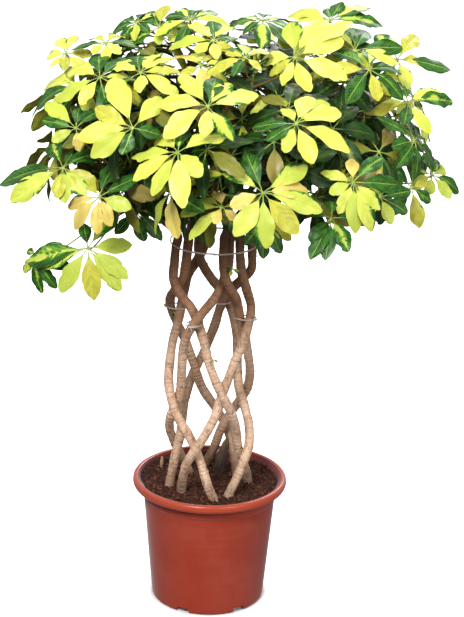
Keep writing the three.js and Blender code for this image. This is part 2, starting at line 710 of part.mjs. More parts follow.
function makeBand(wood) {
  const outer = BAND_RADIUS + TIE_THICKNESS;
  const low = BAND_LEVEL - BAND_HEIGHT / 2;
  const high = BAND_LEVEL + BAND_HEIGHT / 2;
  const profile = [[BAND_RADIUS, low], [outer, low], [outer, high], [BAND_RADIUS, high], [BAND_RADIUS, low]];
  const loop = turned(profile.map(([radius, z]) => new THREE.Vector2(radius, z)));
  addMesh('band', toGeometry(mainBody(loop.translate(trunkCentre(BAND_LEVEL), 0, 0).subtract(wood))), STRING);
}

// A pointed oval, curled back towards its tip
function dryLeafSolid(grow) {
  const belly = DRY_LEAF_BELLY.out * (DRY_LEAF_WIDTH / 2 + grow);
  const stalk = DRY_LEAF_FOOT_WIDTH / 2 + grow;
  const tip = DRY_LEAF_LENGTH + grow;
  const foot = -DRY_LEAF_DEPTH - grow;
  const shape = new THREE.Shape();
  shape.moveTo(-stalk, foot);
  shape.lineTo(stalk, foot);
  shape.quadraticCurveTo(belly, tip * DRY_LEAF_BELLY.up, 0, tip);
  shape.quadraticCurveTo(-belly, tip * DRY_LEAF_BELLY.up, -stalk, foot);
  const depth = DRY_LEAF_THICKNESS + 2 * grow;
  const leaf = new THREE.ExtrudeGeometry(shape, { depth, bevelEnabled: false, curveSegments: 7 });
  leaf.translate(0, 0, -depth / 2);
  leaf.rotateX(Math.PI / 2);
  const position = leaf.attributes.position;
  for (let i = 0; i < position.count; i += 1) {
    const height = Math.max(position.getZ(i), 0);
    position.setY(i, position.getY(i) + DRY_LEAF_CURL * height ** 2);
  }
  leaf.rotateY(radians(DRY_LEAF_LEAN));
  leaf.translate(DRY_LEAF_FOOT.x, DRY_LEAF_FOOT.y, DRY_LEAF_FOOT.z);
  return toSolid(leaf);
}

// ---------------------------------------------------------------- assembly
makePot();

const woodSolids = stems.map((stem) => makeStemSolid(stem, 0));
const woodCutters = stems.map((stem) => makeStemSolid(stem, CLEAR));
woodSolids.forEach((solid, i) => addMesh(`stem_${i + 1}`, toGeometry(mainBody(solid)), BARK));
makeSoil([...woodCutters, dryLeafSolid(CLEAR)]);
addMesh('dry_leaf', toGeometry(dryLeafSolid(0)), DRY_LEAF);

const shoots = stems.flatMap((stem) => [stem.outer, stem.upper]);
const listed = listedLeaves();
const outer = ruleLeaves(OUTER_RULE, listed);
const inner = ruleLeaves(INNER_RULE, [...listed, ...outer]);
shareLeaves(shoots, [...listed, ...outer, ...inner]);

// Where two shoots would cross, blades make way for stems and stalks, and the later
// blade is cut back clear of the earlier
const grown = shoots.map(shootParts);
const allWood = join(woodCutters);
grown.forEach((parts, s) => {
  let leaves = parts.leaves.subtract(allWood);
  grown.forEach((other, o) => {
    if (o !== s) leaves = leaves.subtract(other.stalkRoom);
    if (o < s) leaves = leaves.subtract(other.bladesRoom);
  });
  addMesh(`leafy_shoot_${s + 1}`, toGeometry(mainBody(leaves.add(parts.stalks))), FOLIAGE);
});

for (let i = 0; i < STEMS_PER_FAMILY; i += 1) {
  makeTie(`tie_${i + 1}`, CROSSING_AZIMUTH + 90 * i, allWood);
}
makeBand(allWood);

export default plant;
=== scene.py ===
import math

import bpy
import numpy as np
from mathutils import Matrix, Vector


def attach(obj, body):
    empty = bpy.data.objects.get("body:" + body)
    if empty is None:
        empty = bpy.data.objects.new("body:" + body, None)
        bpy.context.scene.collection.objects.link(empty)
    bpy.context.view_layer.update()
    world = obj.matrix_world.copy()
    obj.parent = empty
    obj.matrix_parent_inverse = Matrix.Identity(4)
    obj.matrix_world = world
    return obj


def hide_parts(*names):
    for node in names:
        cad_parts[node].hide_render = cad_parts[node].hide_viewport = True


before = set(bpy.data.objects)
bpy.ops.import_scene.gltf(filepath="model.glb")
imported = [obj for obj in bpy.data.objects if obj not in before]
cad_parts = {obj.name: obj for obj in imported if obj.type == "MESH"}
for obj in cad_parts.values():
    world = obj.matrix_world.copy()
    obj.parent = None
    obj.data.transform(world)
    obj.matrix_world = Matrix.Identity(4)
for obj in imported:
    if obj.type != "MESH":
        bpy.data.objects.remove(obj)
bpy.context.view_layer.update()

MM = 0.001
UP = np.array([0.0, 0.0, 1.0])

# ---------------- dimensions, as in the frame
POT_HEIGHT = 200.0
RIM_RADIUS = 120.0
RIM_INNER_RADIUS = 112.0
BODY_TOP_RADIUS = 102.5
BASE_RADIUS = 88.0
WALL = 2.2
FLOOR = 6.0
SHOULDER_Z = 170.0               # foot of the slightly wider band under the lip
LIP_Z = 187.0
FOOT_DISC_RADIUS = 60.0
FOOT_RIB_RADIUS = 81.0           # inside of the ring that the pot stands on
FOOT_RECESS = 2.5
DRAIN_COUNT = 6
DRAIN_WIDTH = 22.0
DRAIN_HEIGHT = 8.0
DRAIN_CUT_DEPTH = 20.0
DRAIN_FIRST_AZIMUTH = -25.0
DRAIN_TAPER = 0.86               # a notch is narrower at its top

SOIL_LEVEL = 185.0
PLANTING_DEPTH = 50.0

TRUNK_RADIUS = 57.5
WEAVE = 8.4                      # a stem passes this far outside or inside the trunk's centre line
CROSSING_AZIMUTH = -22.5
CROSSING_TURN = 45.0
CROSSING_HEIGHTS = [153.0, 258.0, 347.0, 470.0, 533.0]
LOWEST_IN_SIGHT = 1
TURN_FADE = 12.0
TRUNK_LEAN = 0.014
LEAN_FOOT = 100.0
NECK_HEIGHT = 470.0
NECK_NARROWING = 0.05
NECK_LEAN = 0.05
STEM_RADIUS_FOOT = 7.8
STEM_RADIUS_TOP = 7.0
BRANCH_RADIUS = 5.0
BRANCH_RADIUS_END = 3.6
TAPER_FROM = 0.8
TRUNK_POINTS = 22
BEND_BELOW_SEAT = 66.0
OUTER_LEAD = 36.0
UPPER_LEAD = 70.0
FORK_HEIGHTS = [560.0, 586.0]
SEAT_TURN = {1: 12.0, -1: -18.0}
UPPER_TURN = 22.0
OUTER_SEATS = {1: (0.56, 684.0, 0.8), -1: (0.56, 662.0, 0.8)}      # reach, height, rise of its line
UPPER_SEATS = [(0.2, 806.0, 2.6), (0.38, 782.0, 1.5)]

CROWN = np.array([25.0, 0.0, 735.0])
CROWN_REACH = np.array([298.0, 255.0, 180.0])
CROWN_DROP = 135.0
SHOOT_LENGTH = 52.0
SHOOT_RADIUS = 3.1
LEAF_DROOP = 0.3
LEAF_ROLL = 25.0
LEAFLET_HALF_WIDTH = 0.2         # of the leaf's radius
PETIOLE_ARCH = 0.4
GOLDEN_ANGLE = math.pi * (3 - math.sqrt(5))
OUTER_RULE = dict(seed=100, count=66, top=0.97, bottom=-0.62, scale=1.0, layer=17, radius=70, spacing=70,
                  bare=(36, 57, 60))
INNER_RULE = dict(seed=300, count=11, top=0.7, bottom=-0.85, scale=0.6, layer=8, radius=62, spacing=58,
                  bare=())

TIE_LEVEL = CROSSING_HEIGHTS[3]
BAND_LEVEL = 583.0
BAND_RADIUS = 66.0

# The leaves in sight at the front: x, y, z of the hub, where the leaf faces (degrees to the right
# and up), radius, and for each leaflet its colouring, direction (0 down, 90 right) and length.
# Colouring: Y yellow, y yellow with a green edge, h half green, g green with a yellow heart,
# G green, o olive, t tan.
FRONT_LEAVES = [
    (-168, -88, 850, -15, 60, 76, "h110/52 G160/60 G200/76 y240/74 Y300/76 Y340/48 G25/74 o70/74"),
    (-115, -196, 806, 5, 35, 78, "G80/40 y140/68 Y200/94 o240/62 Y270/76 Y300/68 g340/40"),
    (-198, -138, 788, 5, 40, 62, "t10/32 G75/60 G140/50 G175/38 y220/64 G250/52 y295/38"),
    (-224, 10, 861, -30, 55, 58, "o20/28 y65/56 o110/38 y200/56 y225/58 y280/34 y330/30"),
    (-165, -10, 883, -15, 70, 54, "y20/36 y60/32 G115/52 o170/52 h225/52 G275/52 y330/28"),
    (-123, 60, 900, -40, 65, 50, "y30/34 G70/32 G120/48 h165/48 G210/48 G255/48 G300/44 g355/36"),
    (-89, 40, 897, -25, 57, 66, "Y20/32 y75/46 h115/64 G155/68 o200/66 G225/66 G240/64 g310/64"),
    (-9, -58, 901, 0, 62, 66, "Y10/32 o60/32 G120/42 y160/66 G180/66 Y210/62 y260/64 Y310/32"),
    (-109, -112, 864, -30, 60, 74, "y30/36 Y80/64 o120/54 y165/62 y190/76 G220/72 Y250/70 G320/72"),
    (-12, -204, 841, 0, 55, 86, "Y0/44 h35/60 y120/80 h150/64 G170/70 Y210/86 Y250/74 Y300/70"),
    (-51, -240, 785, -25, 60, 80, "Y350/70 Y25/78 Y60/50 h150/80 g200/66 y230/80 Y275/74 Y310/70"),
    (62, 40, 912, 5, 80, 62, "g355/58 G35/58 G80/60 h125/60 G170/60 g220/60 G265/60 G310/40"),
    (38, -128, 893, 10, 70, 60, "G325/40 o40/30 o135/60 h170/58 G200/58 o230/34 o280/58"),
    (108, -92, 888, -20, 45, 88, "Y30/56 y80/78 Y130/74 Y150/106 Y170/90 y200/78 Y275/52 o310/44 Y350/44"),
    (109, -208, 821, 5, 55, 82, "Y335/46 Y20/62 Y70/80 Y120/80 y140/80 Y160/74 y200/40 G265/58 G300/46"),
    (160, 30, 916, -10, 55, 76, "o325/74 h40/74 g110/78 h135/76 G165/46 G195/30 Y240/76 Y250/60"),
    (195, -40, 888, -5, 55, 70, "o350/48 y45/38 Y85/62 G110/72 G165/62 G185/70 g210/62 G255/68 o300/68"),
    (259, 0, 867, 5, 50, 72, "y20/46 G90/82 o95/44 o150/76 h195/70 G240/70 G290/70 o335/70"),
    (213, -90, 872, 25, 55, 68, "o0/48 G50/62 G100/66 g155/66 G205/66 o255/66 G310/66"),
    (273, -56, 817, 5, 60, 70, "G350/38 Y30/54 g110/78 y130/72 G180/68 o220/68 Y270/40 o280/60"),
    (282, -90, 770, 60, 40, 64, "G335/52 G45/62 G100/62 g150/62 G205/62 G260/48 G290/54"),
    (315, -44, 707, 30, 40, 64, "Y330/32 Y30/44 G65/56 y110/34 G140/36 G170/40 g240/36 Y285/38"),
    (-216, -140, 731, -20, 50, 84, "o5/48 Y20/52 y50/54 o70/58 G140/60 G170/40 g220/70 G280/106 y310/88"),
    (-161, -186, 703, -30, 35, 64, "t10/50 t40/44 y85/48 G135/62 G185/62 o235/62 t285/60 t320/60"),
    (-180, -150, 616, -5, 35, 78, "o10/72 y45/74 Y60/70 Y100/62 g150/76 G195/42 g280/92 y290/76 y330/72"),
    (66, -252, 735, 5, 35, 84, "y0/74 o40/72 y80/86 t100/66 y125/84 G200/70 h230/70 t290/48 y330/70"),
    (11, -232, 706, 0, 65, 54, "t335/30 t45/32 o115/52 t190/54 h225/52 y260/60 y315/60"),
    (190, -212, 741, 10, 40, 70, "Y335/46 Y0/66 y25/68 y50/52 G90/68 G135/68 t175/42 y240/46 Y290/36"),
    (163, -198, 684, 5, 60, 64, "G350/62 g25/54 G100/62 G170/64 G235/36 G320/46 G335/68"),
    (232, -160, 706, 15, 40, 66, "y20/42 G60/46 G100/54 G135/64 y155/64 t180/52 o200/40 t310/32"),
    (-257, -120, 595, -30, 25, 52, "g10/54 G40/54 G80/50 G125/40 g260/18 y330/36"),
    (-44, 20, 914, -10, 67, 56, "G355/54 y50/34 Y110/58 g145/54 G180/56 h210/54 G240/50 h295/54"),
    (281, -100, 703, 20, 35, 56, "o5/56 G56/36 o108/30 G160/56 G210/50 G262/56 G312/54"),
    (-202, -50, 828, -35, 50, 68, "G350/54 y50/56 G90/50 G190/44 o240/88 y260/96 G290/96"),
    (-114, -100, 659, -10, 30, 56, "G15/44 G50/54 g90/50 G150/38 G200/36 G270/38 G325/46"),
    (70, -150, 662, 5, 40, 58, "G355/50 G30/50 o60/46 G120/38 G180/38 G245/36 G320/42"),
    (-25, -100, 874, 0, 70, 60, "t10/40 o60/44 y120/58 o160/64 Y190/60 t210/70 o310/36"),
]

# ---------------- values of the scene alone
# colour code: share of yellow, spread of it, warmth (+ tan, - olive)
COLOURS = {
    "Y": (1.25, 0.1, 0.05), "y": (0.72, 0.12, 0.05), "h": (0.42, 0.12, 0.0), "g": (0.12, 0.12, -0.2),
    "G": (-0.7, 0.1, 0.0), "o": (0.7, 0.2, -0.85), "t": (1.0, 0.2, 0.9),
}
# leaves of the rule are yellow on top and greener below and inside: least mood, colours to draw from
MOODS = ((0.75, "YYYyyhY"), (0.3, "yYhygYh"), (-0.1, "yhgGoGt"), (-math.inf, "GGgGohG"))
SHADE_COLOURS = "GGGGgGoGGto"
SHADE_LEAVES = 120               # places for small leaves deep in the crown, darkened with painted shade
SHADE_SEED = 600
SHADE_SPACING = 34.0
GREENER_BELOW = 775.0            # leaves under this height turn lime
GREENER_OVER = 60.0              # within this drop
BLADE_THICK = 0.55
BLADE_ROWS = 15                  # along a leaflet; the columns across it are denser at the rib
BLADE_COLUMNS = np.array([-1, -0.78, -0.5, -0.2, 0, 0.2, 0.5, 0.78, 1])
BLADE, GREEN = 0, 1              # the two materials of a leafy piece
# inner is the share of painted shade that darkens a leaf deep in the crown
LEAFY_VALUES = ("along", "across", "under", "pick", "gold", "warm", "woody", "inner", "lime")

# sprouts on the woven stems: family, stem, height, way out of it, leaf size, colours
SPROUTS = (
    (-1, 2, 566, (12, -5, -4), 13, "gYG"),
    (-1, 1, 404, (4, -7, 14), 7, "Go"),
    (-1, 0, 452, (-7, 6, 9), 8, "GG"),
)

CRUMBS, CHIPS, FIBRES = 3000, 230, 210
CRUMB_REACH, CHIP_REACH, FIBRE_REACH, FIBRE_END = 106.5, 104.0, 95.0, 98.0
PEAT_PICK, BROWN_GRAIN_PICK, PEG_PICK = 0.1, 0.93, 0.945      # what the soil's colour goes by
PEGS = ((-78, 52, 22, 1.5, 3.0), (61.5, -2, 15, -1.5, 1.1))   # x, y, rise, lean, radius

SWEEP = ((9.0, -0.0005), (9.6, 0.2), (9.9, 0.7), (10.0, 8.0))    # metres: radius and height
SWEEP_SIDES = 64
FLOOR_GLOW = 0.8
WORLD_BELOW, WORLD_ABOVE = 0.12, 0.52
LIGHTS = {                       # place, height that it aims at, size (metres), power (watts)
    "key": ((-1.0, -2.5, 2.9), 0.6, 0.9, 105),
    "fill": ((1.7, -2.6, 1.5), 0.4, 1.2, 34),
    "back": ((0.9, 2.8, 2.3), 0.6, 1.2, 34),
    "top": ((0.3, 0.2, 3.2), 0.7, 1.2, 34),
}
CAMERA_PLACE = (0.028, -3.0, 1.547)
CAMERA_PITCH, CAMERA_ROLL = 19.64, 1.5       # degrees: looking down, and the photograph's own tilt
LENS, SENSOR = 122.4, 36.0


# ---------------- small maths
def seeded(seed):
    """A repeatable stream of numbers from 0 to 1 (mulberry32), the same as the frame's."""
    mask = 0xFFFFFFFF
    state = seed & mask

    def draw():
        nonlocal state
        state = (state + 0x6D2B79F5) & mask
        mix = ((state ^ (state >> 15)) * (state | 1)) & mask
        mix ^= (mix + (((mix ^ (mix >> 7)) * (mix | 61)) & mask)) & mask
        return ((mix ^ (mix >> 14)) & mask) / 4294967296
    return draw


def spread(draw, amount):
    return (2 * draw() - 1) * amount


def lerp(a, b, t):
    return a + (b - a) * t


def unit(v):
    return v / np.linalg.norm(v)


def polar(azimuth, radius, z):
    """A point by azimuth in degrees: 0 is the front, 90 the right."""
    a = math.radians(azimuth)
    return np.array([radius * math.sin(a), -radius * math.cos(a), z])


def angles(count):
    """The angles of points spaced evenly round a circle, in radians."""
    return np.arange(count) * 2 * math.pi / count


def turned_about(v, axis, degrees):
    a = math.radians(degrees)
    return v * math.cos(a) + np.cross(axis, v) * math.sin(a) + axis * axis.dot(v) * (1 - math.cos(a))


def resample(points, step):
    """The same path with points about every step millimetres, and the lengths along it."""
    points = np.asarray(points)
    lengths = np.concatenate([[0], np.cumsum(np.linalg.norm(np.diff(points, axis=0), axis=1))])
    count = max(2, int(round(lengths[-1] / step)))
    where = np.linspace(0, lengths[-1], count + 1)
    return np.stack([np.interp(where, lengths, points[:, k]) for k in range(3)], axis=1), where


def catmull(points, steps):
    """Centripetal Catmull-Rom curve through the points."""
    points = [np.asarray(p, float) for p in points]
    ends = [2 * points[0] - points[1]] + points + [2 * points[-1] - points[-2]]
    out = []
    for i in range(len(points) - 1):
        p0, p1, p2, p3 = ends[i:i + 4]
        d0, d1, d2 = (max(np.linalg.norm(b - a), 1e-6) ** 0.5 for a, b in ((p0, p1), (p1, p2), (p2, p3)))
        t1 = ((p1 - p0) / d0 - (p2 - p0) / (d0 + d1) + (p2 - p1) / d1) * d1
        t2 = ((p2 - p1) / d1 - (p3 - p1) / (d1 + d2) + (p3 - p2) / d2) * d1
        for k in range(steps):
            t = k / steps
            out.append(p1 + t1 * t + (-3 * p1 + 3 * p2 - 2 * t1 - t2) * t * t
                       + (2 * p1 - 2 * p2 + t1 + t2) * t ** 3)
    out.append(points[-1])
    return np.array(out)


def bezier(a, b, c, count):
    t = np.linspace(0, 1, count)[:, None]
    return a * (1 - t) ** 2 + 2 * b * t * (1 - t) + c * t * t


# ---------------- meshes
def put(name, data):
    item = bpy.data.objects.new(name, data)
    bpy.context.scene.collection.objects.link(item)
    return item


class Builder:
    """Collects closed bodies, in millimetres, into one mesh with number attributes."""

    def __init__(self, *names):
        self.points, self.faces, self.slots = [], [], []
        self.values = {name: [] for name in names}
        self.count = 0

    def add(self, points, faces, slot=0, **values):
        points = np.asarray(points, float)
        self.points.append(points)
        self.faces.extend([tuple(int(i) + self.count for i in f) for f in faces])
        self.slots.extend([slot] * len(faces))
        for name, store in self.values.items():
            store.append(np.broadcast_to(np.asarray(values.get(name, 0.0), float), (len(points),)))
        self.count += len(points)

    def mesh(self, name, materials=()):
        mesh = bpy.data.meshes.new(name)
        mesh.from_pydata((np.concatenate(self.points) * MM).tolist(), [], self.faces)
        for material in materials:
            mesh.materials.append(material)
        mesh.polygons.foreach_set("material_index", self.slots)
        for key, store in self.values.items():
            attribute = mesh.attributes.new(key, "FLOAT", "POINT")
            attribute.data.foreach_set("value", np.concatenate(store).astype(np.float32))
        mesh.polygons.foreach_set("use_smooth", [True] * len(mesh.polygons))
        return mesh

    def make(self, name, materials, sharp=None, nodes=()):
        """The piece itself, with the nodes that it replaces; sharp is the angle of its hard edges."""
        mesh = self.mesh(name, materials)
        if sharp is not None:
            mesh.set_sharp_from_angle(angle=math.radians(sharp))
        mesh.update()
        piece = put(name, mesh)
        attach(piece, "root")
        if nodes:
            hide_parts(*nodes)
        return piece


def round_faces(rings, sides):
    """Faces of a round body: its first point, the rings of points, and its last point."""
    faces = [(0, 1 + (k + 1) % sides, 1 + k) for k in range(sides)]
    for i in range(rings - 1):
        for k in range(sides):
            a, b = 1 + i * sides + k, 1 + i * sides + (k + 1) % sides
            faces.append((a, b, b + sides, a + sides))
    base = 1 + (rings - 1) * sides
    return faces + [(base + sides, base + k, base + (k + 1) % sides) for k in range(sides)]


def tube(points, radii, sides, section=None):
    """A closed bar along the points, with pointed ends; section shapes it around each point."""
    points = np.asarray(points, float)
    count = len(points)
    radii = np.broadcast_to(np.asarray(radii, float), (count,))
    tangents = np.gradient(points, axis=0)
    tangents /= np.linalg.norm(tangents, axis=1)[:, None]
    helper = UP if abs(tangents[0][2]) < 0.9 else np.array([1.0, 0, 0])
    first = unit(np.cross(tangents[0], helper))
    turns = angles(sides)
    rings = []
    for i in range(count):
        first = unit(first - tangents[i] * first.dot(tangents[i]))
        second = np.cross(tangents[i], first)
        r = radii[i] if section is None else radii[i] * section(turns, i)[:, None]
        rings.append(points[i] + r * (np.cos(turns)[:, None] * first + np.sin(turns)[:, None] * second))
    low, high = points[0] - tangents[0] * radii[0] * 0.5, points[-1] + tangents[-1] * radii[-1] * 0.5
    return np.concatenate([[low], *rings, [high]]), round_faces(count, sides)


def per_ring(values, sides):
    """Ring values spread over a tube's vertices, its two end points included."""
    values = np.asarray(values, float)
    return np.concatenate([[values[0]], np.repeat(values, sides), [values[-1]]])


def ball(rings, sides):
    """A ball of radius 1 about the origin."""
    turns = angles(sides)
    verts = [(0, 0, 1)]
    for a in np.linspace(0, math.pi, rings + 1)[1:-1]:
        verts += [(math.sin(a) * math.cos(t), math.sin(a) * math.sin(t), math.cos(a)) for t in turns]
    verts.append((0, 0, -1))
    return np.array(verts), [face[:1] + face[:0:-1] for face in round_faces(rings - 1, sides)]


def slab_faces(rows, columns):
    """Faces of a closed slab: an upper grid, a lower grid and the rim between them."""
    under = rows * columns
    faces = []
    for r in range(rows - 1):
        for c in range(columns - 1):
            a = r * columns + c
            quad = (a, a + columns, a + columns + 1, a + 1)
            faces.append(quad)
            faces.append(tuple(i + under for i in reversed(quad)))
    at = np.arange(under).reshape(rows, columns)
    edge = [*at[:, 0], *at[-1, 1:], *at[-2::-1, -1], *at[0, -2:0:-1]]
    return faces + [(b, a, a + under, b + under) for a, b in zip(edge, edge[1:] + edge[:1])]


def slab(grid, depth):
    """A closed slab under a grid of points, and the faces of it."""
    normal = np.cross(np.gradient(grid, axis=0), np.gradient(grid, axis=1))
    normal /= np.maximum(np.linalg.norm(normal, axis=2), 1e-9)[:, :, None]
    verts = np.concatenate([grid.reshape(-1, 3), (grid - normal * depth).reshape(-1, 3)])
    return verts, slab_faces(*grid.shape[:2])


def on_slab(values, grid):
    """Grid values spread over both sides of a slab."""
    return np.tile(np.broadcast_to(values, grid.shape[:2]).reshape(-1), 2)


def lathe(profile, segments):
    """A closed profile (first and last point on the axis) turned about Z."""
    verts = [(0, 0, profile[0][1])]
    for r, z in profile[1:-1]:
        verts += [(r * math.sin(t), -r * math.cos(t), z) for t in angles(segments)]
    verts.append((0, 0, profile[-1][1]))
    return np.array(verts, float), round_faces(len(profile) - 2, segments)


def rounded(profile, reach, steps):
    """The profile with each corner replaced by a small curve that starts reach before it."""
    points = [np.array(p, float) for p in profile]
    out = [points[0]]
    for a, b, c in zip(points, points[1:], points[2:]):
        cut = min(reach, 0.45 * np.linalg.norm(b - a), 0.45 * np.linalg.norm(c - b))
        out += list(bezier(b + unit(a - b) * cut, b, b + unit(c - b) * cut, steps))
    out.append(points[-1])
    return out


# ---------------- materials
class Value:
    """What a node puts out; the signs + - * make further nodes of it."""

    def __init__(self, shader, socket):
        self.shader, self.socket = shader, socket

    def math(self, kind, other=None):
        return self.shader.node("ShaderNodeMath", {0: self, 1: other}, operation=kind)

    def __add__(self, other):
        return self.math("ADD", other)

    def __sub__(self, other):
        return self.math("SUBTRACT", other)

    def __mul__(self, other):
        return self.math("MULTIPLY", other)

    def __abs__(self):
        return self.math("ABSOLUTE")

    def step(self, low, high, to_low=0.0, to_high=1.0):
        """Smooth rise from to_low to to_high as the value goes from low to high."""
        return self.shader.node("ShaderNodeMapRange", {0: self, 1: low, 2: high, 3: to_low, 4: to_high},
                                interpolation_type="SMOOTHSTEP")

    def mix(self, a, b):
        """Colour a with the value as the share of colour b in it."""
        return self.shader.node("ShaderNodeMix", {0: self, 6: linear(a), 7: linear(b)}, 2, data_type="RGBA")

    def blend(self, low, high, a, b, most=1.0):
        """From colour a towards b as the value goes from low to high; most is the largest share of b."""
        return self.step(low, high, 0.0, most).mix(a, b)

    def lines(self, count, width):
        """Thin soft lines, count of them in each unit of the value."""
        return abs((self * count).math("FRACT") - 0.5).step(width, 0.02)


def linear(colour):
    """An sRGB colour of 0 to 255 as the shader wants it; a node's colour stays as it is."""
    if isinstance(colour, Value):
        return colour
    parts = [c / 255 for c in colour]
    return tuple(c / 12.92 if c <= 0.04045 else ((c + 0.055) / 1.055) ** 2.4 for c in parts) + (1.0,)


class Shader:
    """A short way to write a node material. Inputs are numbers, colours or values of nodes."""

    def __init__(self, name):
        self.material = bpy.data.materials.new(name)
        self.material.use_nodes = True
        self.tree = self.material.node_tree
        self.bsdf = self.tree.nodes["Principled BSDF"]
        self.place = self.node("ShaderNodeTexCoord", out=3)      # metres, in the object's own frame

    def link(self, value, socket):
        if isinstance(value, Value):
            self.tree.links.new(value.socket, socket)
        elif value is not None:
            socket.default_value = value

    def node(self, kind, inputs=(), out=0, **settings):
        node = self.tree.nodes.new(kind)
        for key, value in settings.items():
            setattr(node, key, value)
        for key, value in dict(inputs).items():
            self.link(value, node.inputs[key])
        return Value(self, node.outputs[out])

    def attributes(self, *names):
        return [self.node("ShaderNodeAttribute", attribute_name=name, attribute_type="GEOMETRY", out=2)
                for name in names]

    def vector(self, x, y, z):
        return self.node("ShaderNodeCombineXYZ", {0: x, 1: y, 2: z})

    def stretched(self, x, y, z):
        """The place with each axis scaled."""
        return self.node("ShaderNodeVectorMath", {0: self.place, 1: (x, y, z)}, operation="MULTIPLY")

    def axis(self, number):
        return self.node("ShaderNodeSeparateXYZ", {0: self.place}, out=number)

    def length(self, vector):
        return self.node("ShaderNodeVectorMath", {0: vector}, out=1, operation="LENGTH")

    def noise(self, vector, scale, detail=3, rough=0.5):
        return self.node("ShaderNodeTexNoise", {"Vector": vector, "Scale": scale, "Detail": detail,
                                                "Roughness": rough})

    def bump(self, height, distance, strength):
        return self.node("ShaderNodeBump", {"Height": height, "Distance": distance, "Strength": strength})

    def finish(self, colour, roughness, normal=None, **fixed):
        inputs = {"Base Color": linear(colour), "Roughness": roughness, "Normal": normal, **fixed}
        for key, value in inputs.items():
            self.link(value, self.bsdf.inputs[key.replace("_", " ")])
        return self.material


def leaf_material():
    """Variegated blade: yellow heart, ragged green margins that follow the side veins."""
    s = Shader("variegated_leaf")
    along, across, under, pick = s.attributes("along", "across", "under", "pick")
    gold, warm, inner, lime = s.attributes("gold", "warm", "inner", "lime")
    away = abs(across)
    lane = along - away * 0.22                        # the same along one side vein
    seed = pick * 37                                  # gives each leaflet its own pattern
    ragged = s.noise(s.vector(lane * 9, across * 1.3, seed), 1, 3, 0.6)
    broad = s.noise(s.vector(along * 2.2, across * 0.9, seed + 9), 1, 1)
    lopsided = across * (s.noise(s.vector(seed, 3, 0), 1, 0) * 3 - 1.5)
    level = (away * 0.62 + (along - 0.45) * 0.22 + (ragged - 0.5) * 0.75 + (broad - 0.5) * 1.1
             + lopsided * 0.35)
    green = (level - gold).step(-0.025, 0.035)
    deep = (level - (gold + broad * 0.22)).step(-0.03, 0.06)
    # the yellow part: duller and darker in some leaflets as painted shade for leaflets turned from the light,
    # lime in low leaves, tan or olive in old ones
    fresh = broad.blend(0.3, 0.7, (206, 214, 78), (236, 238, 112))
    fresh = (pick * 7.3).math("FRACT").blend(0.3, 0.95, fresh, (180, 194, 68), 0.9)
    fresh = ragged.blend(0.52, 0.66, fresh, (200, 212, 84), 0.35)
    low = lime * (ragged + away * 0.25).step(0.38, 0.72, 0.35, 1)
    fresh = low.mix(fresh, (178, 194, 74))
    tan = broad.blend(0.3, 0.7, (214, 184, 88), (230, 206, 116))
    olive = ragged.blend(0.35, 0.65, (170, 168, 52), (196, 190, 70))
    yellow = warm.blend(0, 1, fresh, tan)
    yellow = warm.blend(0, -1, yellow, olive)
    # the green part: a pale band next to the yellow, and a faint pale heart where there is none
    pale_green = ragged.blend(0.4, 0.62, (106, 156, 50), (70, 128, 34))
    mottle = s.noise(s.vector(along * 5, across * 2, seed), 1)
    dark_green = mottle.blend(0.35, 0.65, (24, 66, 18), (48, 106, 26))
    heart = (level + pick * 0.35).step(0.22, 0.06, 0, 0.75) * gold.step(0, -0.3)
    dark_green = heart.mix(dark_green, pale_green)
    body = green.mix(yellow, pale_green)
    body = (green * deep).mix(body, dark_green)
    # the midrib and the side veins are paler
    vein = lane.lines(11, 0.1) * away.step(0.98, 0.6)
    line = away.step(0.075, 0.02).math("MAXIMUM", vein * 0.35)
    body = (line * 0.55).mix(body, (176, 196, 84))
    # scattered freckles and a dry nick at some tips
    body = s.noise(s.place, 420, 2).blend(0.71, 0.78, body, (96, 96, 30), 0.35)
    dry = (along + ragged * 0.25).step(1.1, 1.16) * pick.step(0.72, 0.74)
    body = dry.mix(body, (120, 84, 40))
    # the underside is duller, and leaves deep in the crown are darkened with painted shade
    colour = (under * 0.5).mix(body, (158, 146, 62))
    colour = (inner * 0.62).mix(colour, (20, 34, 12))
    height = line * -0.6 + s.noise(s.place, 260) * 0.35 + s.noise(s.place, 60, 1) * 0.7
    rough = s.noise(s.place, 90) * 0.16 + under * 0.16 + 0.32
    return s.finish(colour, rough, s.bump(height, 0.0006, 0.55), Specular_IOR_Level=0.24,
                    Coat_Weight=0.05, Coat_Roughness=0.2)


def stalk_material():
    """Petioles and green shoots: yellow-green, browner and rougher towards the wood."""
    s = Shader("green_stalk")
    woody, pick = s.attributes("woody", "pick")
    mottle = s.noise(s.place, 140)
    stripe = s.noise(s.stretched(900, 900, 60), 1, 2)
    green = mottle.blend(0.35, 0.65, (126, 150, 60), (168, 184, 88))
    green = pick.blend(0.55, 0.8, green, (158, 128, 62))
    brown = stripe.blend(0.35, 0.65, (96, 74, 42), (134, 108, 66))
    colour = (woody + mottle * 0.4).blend(0.5, 0.9, green, brown)
    height = stripe * 0.6 + mottle * 0.5
    return s.finish(colour, mottle.step(0.2, 0.8, 0.34, 0.55), s.bump(height, 0.0004, 0.5))


